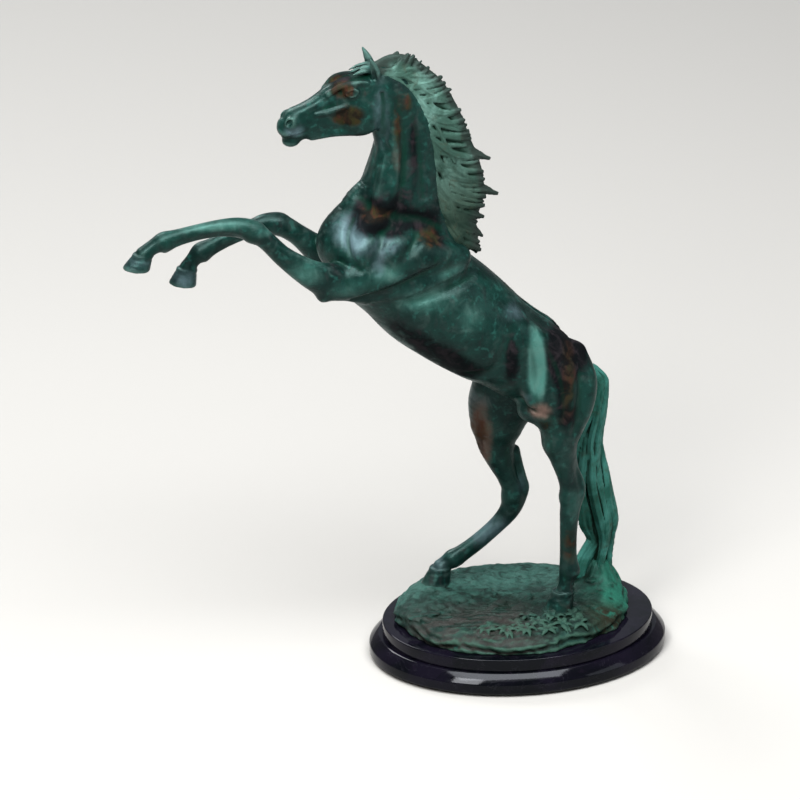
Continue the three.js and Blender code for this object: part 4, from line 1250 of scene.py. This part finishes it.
def set_light():
    bpy.context.scene.view_settings.view_transform = "Standard"
    world = bpy.data.worlds.new("studio")
    bpy.context.scene.world = world
    world.use_nodes = True
    background = world.node_tree.nodes["Background"]
    background.inputs["Color"].default_value = (1.0, 0.99, 0.97, 1)
    background.inputs["Strength"].default_value = 0.2
    area_light("key", (-1.3, -1.5, 1.9), (-0.05, 0, 0.25), (0.8, 0.8), 50, (1.0, 0.98, 0.95))
    area_light("overhead", (0.0, -0.5, 1.9), (0, -0.5, 0.0), (1.9, 2.6), 28)
    area_light("strip", (-0.15, -0.8, 1.75), (-0.05, -0.08, 0.05), (1.9, 0.95), 78)
    area_light("fill", (1.7, -1.1, 0.8), (0, 0, 0.2), (1.0, 1.0), 7, (0.94, 0.97, 1.0))
    area_light("rim", (-0.7, 1.4, 1.6), (0, 0, 0.2), (0.9, 0.7), 34)
    area_light("back_panel", (0.5, 2.1, 1.0), (0, 0, 0.05), (2.6, 1.2), 3.2, (0.78, 0.89, 1.0))


def set_floor():
    mesh = bpy.data.meshes.new("floor")
    reach, top = 6.0, -0.0004
    corners = [(-reach, -reach), (reach, -reach), (reach, reach), (-reach, reach)]
    mesh.from_pydata([(x, y, top) for x, y in corners], [], [(0, 1, 2, 3)])
    floor = bpy.data.objects.new("floor", mesh)
    bpy.context.scene.collection.objects.link(floor)
    material = bpy.data.materials.new("floor")
    material.use_nodes = True
    shader = material.node_tree.nodes["Principled BSDF"]
    shader.inputs["Base Color"].default_value = (0.322, 0.318, 0.308, 1)
    shader.inputs["Roughness"].default_value = 0.7
    shader.inputs["Specular IOR Level"].default_value = 0.1
    mesh.materials.append(material)

# ---------------------------------------------------------------- materials


class Shade:
    """A node material in the making. Values are numbers, colours or the sockets of other nodes."""

    def __init__(self, name):
        self.material = bpy.data.materials.new(name)
        self.material.use_nodes = True
        self.tree = self.material.node_tree
        self.shader = self.tree.nodes["Principled BSDF"]
        self.place = self.tree.nodes.new("ShaderNodeTexCoord").outputs["Object"]

    def put(self, socket, value):
        if isinstance(value, bpy.types.NodeSocket):
            self.tree.links.new(value, socket)
        elif socket.type == "RGBA" and len(value) == 3:
            socket.default_value = (*value, 1)
        else:
            socket.default_value = value

    def math(self, operation, *values, clamp=False):
        node = self.tree.nodes.new("ShaderNodeMath")
        node.operation, node.use_clamp = operation, clamp
        for socket, value in zip(node.inputs, values):
            self.put(socket, value)
        return node.outputs[0]

    def attribute(self, name):
        node = self.tree.nodes.new("ShaderNodeAttribute")
        node.attribute_name = name
        return node.outputs["Fac"]

    def noise(self, size, detail=4.0, stretch=(1, 1, 1), roughness=0.55, warp=0.0):
        """Noise about 0.5 with features of this size in millimetres, longer along an axis by its stretch."""
        move = self.tree.nodes.new("ShaderNodeMapping")
        self.put(move.inputs["Vector"], self.place)
        move.inputs["Scale"].default_value = [1 / (size * MM * s) for s in stretch]
        node = self.tree.nodes.new("ShaderNodeTexNoise")
        self.put(node.inputs["Vector"], move.outputs[0])
        for key, value in (("Scale", 1.0), ("Detail", detail), ("Roughness", roughness),
            ("Distortion", warp)):
            node.inputs[key].default_value = value
        return node.outputs["Fac"]

    def axes(self):
        """Sockets with the object's own X, Y and Z in metres."""
        node = self.tree.nodes.new("ShaderNodeSeparateXYZ")
        self.put(node.inputs[0], self.place)
        return node.outputs

    def rise(self, value, low, high, start=0.0, end=1.0):
        """A smooth step from start to end, as value goes from low to high."""
        node = self.tree.nodes.new("ShaderNodeMapRange")
        node.interpolation_type = "SMOOTHSTEP"
        for key, v in (("Value", value), ("From Min", low), ("From Max", high), ("To Min", start),
            ("To Max", end)):
            self.put(node.inputs[key], v)
        return node.outputs[0]

    def mix(self, share, first, second, blend="MIX"):
        node = self.tree.nodes.new("ShaderNodeMix")
        node.data_type, node.blend_type = "RGBA", blend
        for key, value in ((0, share), (6, first), (7, second)):
            self.put(node.inputs[key], value)
        return node.outputs[2]

    def bump(self, *layers):
        """Layers of height, each with its depth in millimetres."""
        total = None
        for height, depth in layers:
            part = self.math("MULTIPLY", height, depth)
            total = part if total is None else self.math("ADD", total, part)
        node = self.tree.nodes.new("ShaderNodeBump")
        node.inputs["Strength"].default_value = 1.0
        node.inputs["Distance"].default_value = MM
        self.put(node.inputs["Height"], total)
        self.put(self.shader.inputs["Normal"], node.outputs[0])

    def finish(self, **sockets):
        for key, value in sockets.items():
            self.put(self.shader.inputs[key.replace("_", " ")], value)
        return self.material


TEAL_DEEP, TEAL, TEAL_GREY = (0.0014, 0.0070, 0.0062), (0.0032, 0.0185, 0.0150), (0.013, 0.026, 0.023)
# Two greens for verdigris, which also colour the painted highlights of the pale washes and of the ridges.
GREEN_PATINA_AND_HIGHLIGHT, PALE_PATINA_AND_HIGHLIGHT = (0.022, 0.110, 0.092), (0.060, 0.120, 0.105)
# BLUE_GREY is partly patina and partly painted highlight, on the chest, neck and face.
CREVICE_GREEN, BLUE_GREY = (0.0006, 0.013, 0.0075), (0.060, 0.098, 0.112)
BROWN_DEEP, BROWN_RED, OLIVE = (0.0065, 0.0044, 0.0030), (0.030, 0.0125, 0.0075), (0.016, 0.0145, 0.0055)
# TAN is partly patina, on the gaskin, and partly a painted highlight, on the stifle.
TAN = (0.105, 0.062, 0.050)
# The violet darks colour the dark wash, which is partly darker patina and partly painted shade.
VIOLET_BLACK, VIOLET_GREY = (0.0022, 0.0018, 0.0026), (0.012, 0.009, 0.011)
WAX_TINT = (0.62, 1.0, 0.96)


def body_bronze():
    """Brown bronze under a waxed green and blue patina, rubbed through in brown patches where hands fall; the
    pale, blue and tan patches are partly painted highlights, and the dark ones partly painted shade.
    """
    s = Shade("body_bronze")
    relief = s.attribute("relief")
    broad, middle = s.noise(38, 5, warp=0.6), s.noise(11, 6, warp=0.8)
    streaks = s.noise(7, 6, stretch=(1, 1, 5), warp=0.5)
    speckle = s.noise(1.6, 5, roughness=0.7)
    colour = s.mix(s.rise(broad, 0.38, 0.62), TEAL_DEEP, TEAL)
    colour = s.mix(s.rise(middle, 0.50, 0.72, 0, 0.75), colour, TEAL_GREY)
    colour = s.mix(s.rise(streaks, 0.56, 0.74, 0, 0.5), colour, VIOLET_GREY)
    colour = s.mix(s.rise(streaks, 0.42, 0.30, 0, 0.55), colour, CREVICE_GREEN)
    mottle = s.noise(6, 4, warp=0.3)
    colour = s.mix(s.rise(mottle, 0.46, 0.34, 0, 0.65), colour, TEAL_DEEP)
    colour = s.mix(s.rise(mottle, 0.54, 0.70, 0, 0.22), colour, GREEN_PATINA_AND_HIGHLIGHT)
    # Noise that breaks up every wash, the painted highlights and painted shade as well as the patina colours.
    wash_breakup = s.math("ADD", middle, s.math("MULTIPLY", streaks, 0.6))

    def patched(kind, low, high, most):
        weight = s.math("MULTIPLY", s.attribute(kind), s.math("ADD", wash_breakup, 0.2))
        return s.rise(weight, low, high, 0, most)

    brown, dark = patched("brown", 0.30, 0.75, 1.0), patched("dark", 0.25, 0.8, 0.95)
    # Painted highlights in part: the pale, blue and tan washes are partly patina and partly light painted on
    # the haunch, ribs, chest, neck, face and stifle.
    colour = s.mix(patched("pale", 0.20, 1.0, 0.92), colour, s.mix(middle, GREEN_PATINA_AND_HIGHLIGHT, PALE_PATINA_AND_HIGHLIGHT))
    colour = s.mix(patched("blue", 0.25, 1.1, 0.9), colour, BLUE_GREY)
    colour = s.mix(patched("tan", 0.30, 1.1, 0.85), colour, TAN)
    # Painted shade in part: the dark wash is partly darker patina and partly shade painted under the belly,
    # chest and jaw and between the legs.
    colour = s.mix(dark, colour, s.mix(s.rise(middle, 0.45, 0.65), VIOLET_BLACK, VIOLET_GREY))
    # The brown patina and the dark wash together, the latter partly painted shade.
    brown_and_dark = s.math("ADD", brown, dark, clamp=True)
    brown_tone = s.mix(s.rise(middle, 0.42, 0.62), BROWN_DEEP,
        s.mix(s.rise(streaks, 0.4, 0.62), OLIVE, BROWN_RED))
    colour = s.mix(brown, colour, brown_tone)
    hollow = s.rise(relief, -0.10, -0.85, 0, 0.85)
    # Painted highlight: paler colour along raised ridges, less on the brown and dark patches.
    ridge = s.rise(s.math("ADD", relief, s.math("MULTIPLY", speckle, 0.5)), 0.85, 1.9, 0, 0.5)
    colour = s.mix(hollow, colour, CREVICE_GREEN)
    colour = s.mix(s.math("MULTIPLY", ridge, s.rise(brown_and_dark, 0.0, 0.8, 1.0, 0.1)), colour, PALE_PATINA_AND_HIGHLIGHT)
    colour = s.mix(s.rise(speckle, 0.6, 0.8, 0, 0.3), colour, TEAL_GREY)
    colour = s.mix(s.rise(speckle, 0.42, 0.26, 0, 0.5), colour, TEAL_DEEP)
    gloss = s.math("ADD", s.rise(middle, 0.35, 0.7, 0.30, 0.50), s.math("MULTIPLY", brown_and_dark, 0.3))
    s.bump((speckle, 0.16), (s.noise(5, 4), 0.30), (s.noise(0.5, 3), 0.03))
    return s.finish(Base_Color=colour, Roughness=gloss, Metallic=0.12,
                    Specular_IOR_Level=s.rise(brown_and_dark, 0.1, 0.9, 0.18, 0.04), Specular_Tint=WAX_TINT)


def hair_bronze():
    """A dry, pale grey-green patina with deep green between the strands."""
    s = Shade("hair_bronze")
    relief, fine = s.attribute("relief"), s.attribute("fine")
    height = s.axes()["Z"]
    broad, middle = s.noise(26, 5, warp=0.5), s.noise(7, 6, warp=0.7)
    speckle = s.noise(1.3, 5, roughness=0.7)
    neck, upper = s.rise(height, 0.24, 0.30), s.rise(height, 0.36, 0.45)
    dull = s.mix(upper, s.mix(neck, (0.0095, 0.055, 0.041), (0.0065, 0.0150, 0.0105)),
        (0.022, 0.052, 0.040))
    pale = s.mix(upper, s.mix(neck, (0.028, 0.120, 0.100), (0.0190, 0.0350, 0.0250)), (0.080, 0.160, 0.137))
    colour = s.mix(s.rise(broad, 0.40, 0.62), dull, pale)
    colour = s.mix(s.rise(middle, 0.52, 0.75, 0, 0.5), colour, (0.026, 0.026, 0.015))
    groove = s.rise(s.math("ADD", fine, s.math("MULTIPLY", relief, 0.3)), 0.06, -0.42)
    colour = s.mix(groove, colour, s.mix(middle, (0.0006, 0.010, 0.0045), (0.0028, 0.004, 0.0026)))
    ridge = s.rise(s.math("ADD", fine, s.math("MULTIPLY", speckle, 0.25)), 0.30, 0.75, 0, 0.6)
    colour = s.mix(s.math("MULTIPLY", ridge, upper), colour, (0.080, 0.140, 0.118))
    colour = s.mix(s.rise(speckle, 0.42, 0.26, 0, 0.5), colour, (0.004, 0.012, 0.009))
    tip = s.math("MULTIPLY", s.attribute("tip"), s.math("ADD", middle, 0.35))
    colour = s.mix(s.rise(tip, 0.20, 0.75, 0, 0.95), colour,
        s.mix(broad, (0.007, 0.013, 0.011), (0.015, 0.018, 0.015)))
    s.bump((speckle, 0.12), (s.noise(3, 4), 0.2))
    return s.finish(Base_Color=colour, Roughness=s.rise(middle, 0.35, 0.7, 0.45, 0.68), Metallic=0.12,
                    Specular_IOR_Level=0.15, Specular_Tint=WAX_TINT)


def ground_bronze():
    """Verdigris earth, brown where the rock breaks through and pale on the leaves."""
    s = Shade("ground_bronze")
    relief, fine = s.attribute("relief"), s.attribute("fine")
    spot = s.axes()
    broad, middle = s.noise(40, 5, warp=0.5), s.noise(9, 6, warp=0.9)
    speckle = s.noise(1.5, 5, roughness=0.7)
    strata = s.noise(6, 6, stretch=(5, 1.4, 1), warp=0.6)
    clumps = s.noise(13, 5, warp=1.4)
    colour = s.mix(s.rise(broad, 0.38, 0.62), (0.0026, 0.0115, 0.0080), (0.0075, 0.029, 0.0225))
    back = s.rise(spot["Y"], -0.010, 0.030)
    colour = s.mix(s.math("MULTIPLY", back, 0.8), colour, (0.025, 0.072, 0.060))
    colour = s.mix(s.rise(middle, 0.50, 0.70, 0, 0.75), colour, (0.0045, 0.0085, 0.0080))
    front = s.rise(spot["Y"], 0.012, -0.036)
    shade = s.math("MULTIPLY", s.rise(spot["Y"], 0.034, 0.004),
        s.rise(clumps, 0.58, 0.40, 0.1, 0.85))
    colour = s.mix(shade, colour, (0.0022, 0.0050, 0.0040))
    left = s.rise(spot["X"], 0.022, -0.020)
    rock = s.math("MULTIPLY", s.math("MULTIPLY", front, left), s.rise(strata, 0.36, 0.52))
    colour = s.mix(rock, colour, s.mix(strata, (0.0045, 0.0040, 0.0038), (0.026, 0.022, 0.020)))
    leaves = s.math("MULTIPLY", s.rise(spot["Y"], -0.030, -0.052), s.rise(fine, -0.05, 0.30))
    colour = s.mix(s.math("MULTIPLY", leaves, 0.8), colour, (0.019, 0.048, 0.034))
    hollow = s.rise(s.math("ADD", fine, s.math("MULTIPLY", relief, 0.4)), 0.02, -0.50, 0, 0.9)
    right = s.rise(spot["X"], 0.042, 0.066)
    colour = s.mix(s.math("MULTIPLY", right, s.rise(broad, 0.30, 0.52)), colour, (0.0085, 0.066, 0.045))
    rust = s.math("MULTIPLY", s.rise(spot["X"], 0.030, 0.058),
        s.rise(spot["Y"], -0.018, -0.040))
    colour = s.mix(s.math("MULTIPLY", rust, s.rise(middle, 0.34, 0.50)), colour, (0.0085, 0.0070, 0.0030))
    colour = s.mix(hollow, colour, s.mix(middle, (0.0008, 0.008, 0.0045), (0.004, 0.0035, 0.002)))
    ridge = s.rise(s.math("ADD", fine, s.math("MULTIPLY", speckle, 0.3)), 0.32, 0.80, 0, 0.50)
    colour = s.mix(ridge, colour, (0.023, 0.054, 0.041))
    colour = s.mix(s.rise(speckle, 0.60, 0.80, 0, 0.35), colour, (0.036, 0.035, 0.020))
    colour = s.mix(s.rise(speckle, 0.42, 0.26, 0, 0.6), colour, (0.004, 0.011, 0.009))
    s.bump((speckle, 0.30), (middle, 0.9), (s.noise(0.6, 3), 0.06))
    return s.finish(Base_Color=colour, Roughness=s.rise(middle, 0.35, 0.7, 0.48, 0.75), Metallic=0.08,
                    Specular_IOR_Level=0.15, Specular_Tint=WAX_TINT)


def marble():
    """Polished near-black stone with a violet cast, faint clouds and hairline veins."""
    s = Shade("marble")
    broad, middle = s.noise(45, 5, warp=1.2), s.noise(12, 6, warp=1.0)
    grain = s.noise(0.9, 4, roughness=0.7)
    colour = s.mix(s.rise(broad, 0.40, 0.65), (0.0010, 0.0013, 0.0022), (0.0032, 0.0026, 0.0058))
    colour = s.mix(s.rise(middle, 0.55, 0.75, 0, 0.5), colour, (0.0055, 0.0036, 0.0080))
    vein = s.math("ABSOLUTE", s.math("SUBTRACT", s.noise(30, 7, warp=2.2), 0.5))
    colour = s.mix(s.rise(vein, 0.006, 0.0, 0, 0.45), colour, (0.018, 0.018, 0.024))
    colour = s.mix(s.rise(grain, 0.62, 0.80, 0, 0.35), colour, (0.008, 0.008, 0.011))
    s.bump((middle, 0.05), (grain, 0.006))
    return s.finish(Base_Color=colour, Roughness=s.rise(middle, 0.3, 0.7, 0.05, 0.11),
                    Specular_IOR_Level=0.13, Specular_Tint=(0.88, 0.92, 1.0))


def felt():
    """Dark green baize: matted fibres, paler where they stand up."""
    s = Shade("felt")
    fibre, clumps = s.noise(0.35, 6, stretch=(1, 3, 1), roughness=0.8, warp=1.5), s.noise(4, 5)
    colour = s.mix(s.rise(fibre, 0.35, 0.65), (0.006, 0.018, 0.012), (0.022, 0.055, 0.036))
    colour = s.mix(s.rise(clumps, 0.45, 0.7, 0, 0.5), colour, (0.014, 0.030, 0.022))
    s.bump((fibre, 0.25), (clumps, 0.2))
    return s.finish(Base_Color=colour, Roughness=s.rise(fibre, 0.3, 0.7, 0.85, 1.0), Specular_IOR_Level=0.2,
                    Sheen_Weight=0.4, Sheen_Roughness=0.5)


def steel():
    """Zinc-plated fasteners, spun and slightly dulled."""
    s = Shade("steel")
    rings, dull = s.noise(0.4, 4, stretch=(1, 1, 0.25)), s.noise(3, 5)
    colour = s.mix(s.rise(dull, 0.4, 0.7), (0.52, 0.53, 0.55), (0.36, 0.36, 0.35))
    s.bump((rings, 0.03), (dull, 0.03))
    return s.finish(Base_Color=colour, Roughness=s.rise(dull, 0.3, 0.7, 0.25, 0.45), Metallic=1.0)


# ---------------------------------------------------------------- build

FINE = 1.0
FIGURE = build_figure(FINE)
BASE = build_base()
MATERIALS = {"body_bronze": body_bronze(), "hair_bronze": hair_bronze(), "ground_bronze": ground_bronze(),
             "marble": marble(), "felt": felt(), "steel": steel()}
SLOT_OF = {"mane": "hair_bronze", "tail": "hair_bronze", "ground": "ground_bronze", "felt": "felt",
           "lower_marble_slab": "marble", "upper_marble_slab": "marble"}
for key, piece in (FIGURE | BASE).items():
    piece.data.materials.append(MATERIALS[SLOT_OF.get(key, "body_bronze")])
for name in ("front_stud", "rear_stud", "front_washer", "rear_washer", "front_nut", "rear_nut"):
    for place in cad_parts[name].material_slots:
        place.material = MATERIALS["steel"]
set_camera()
set_light()
set_floor()
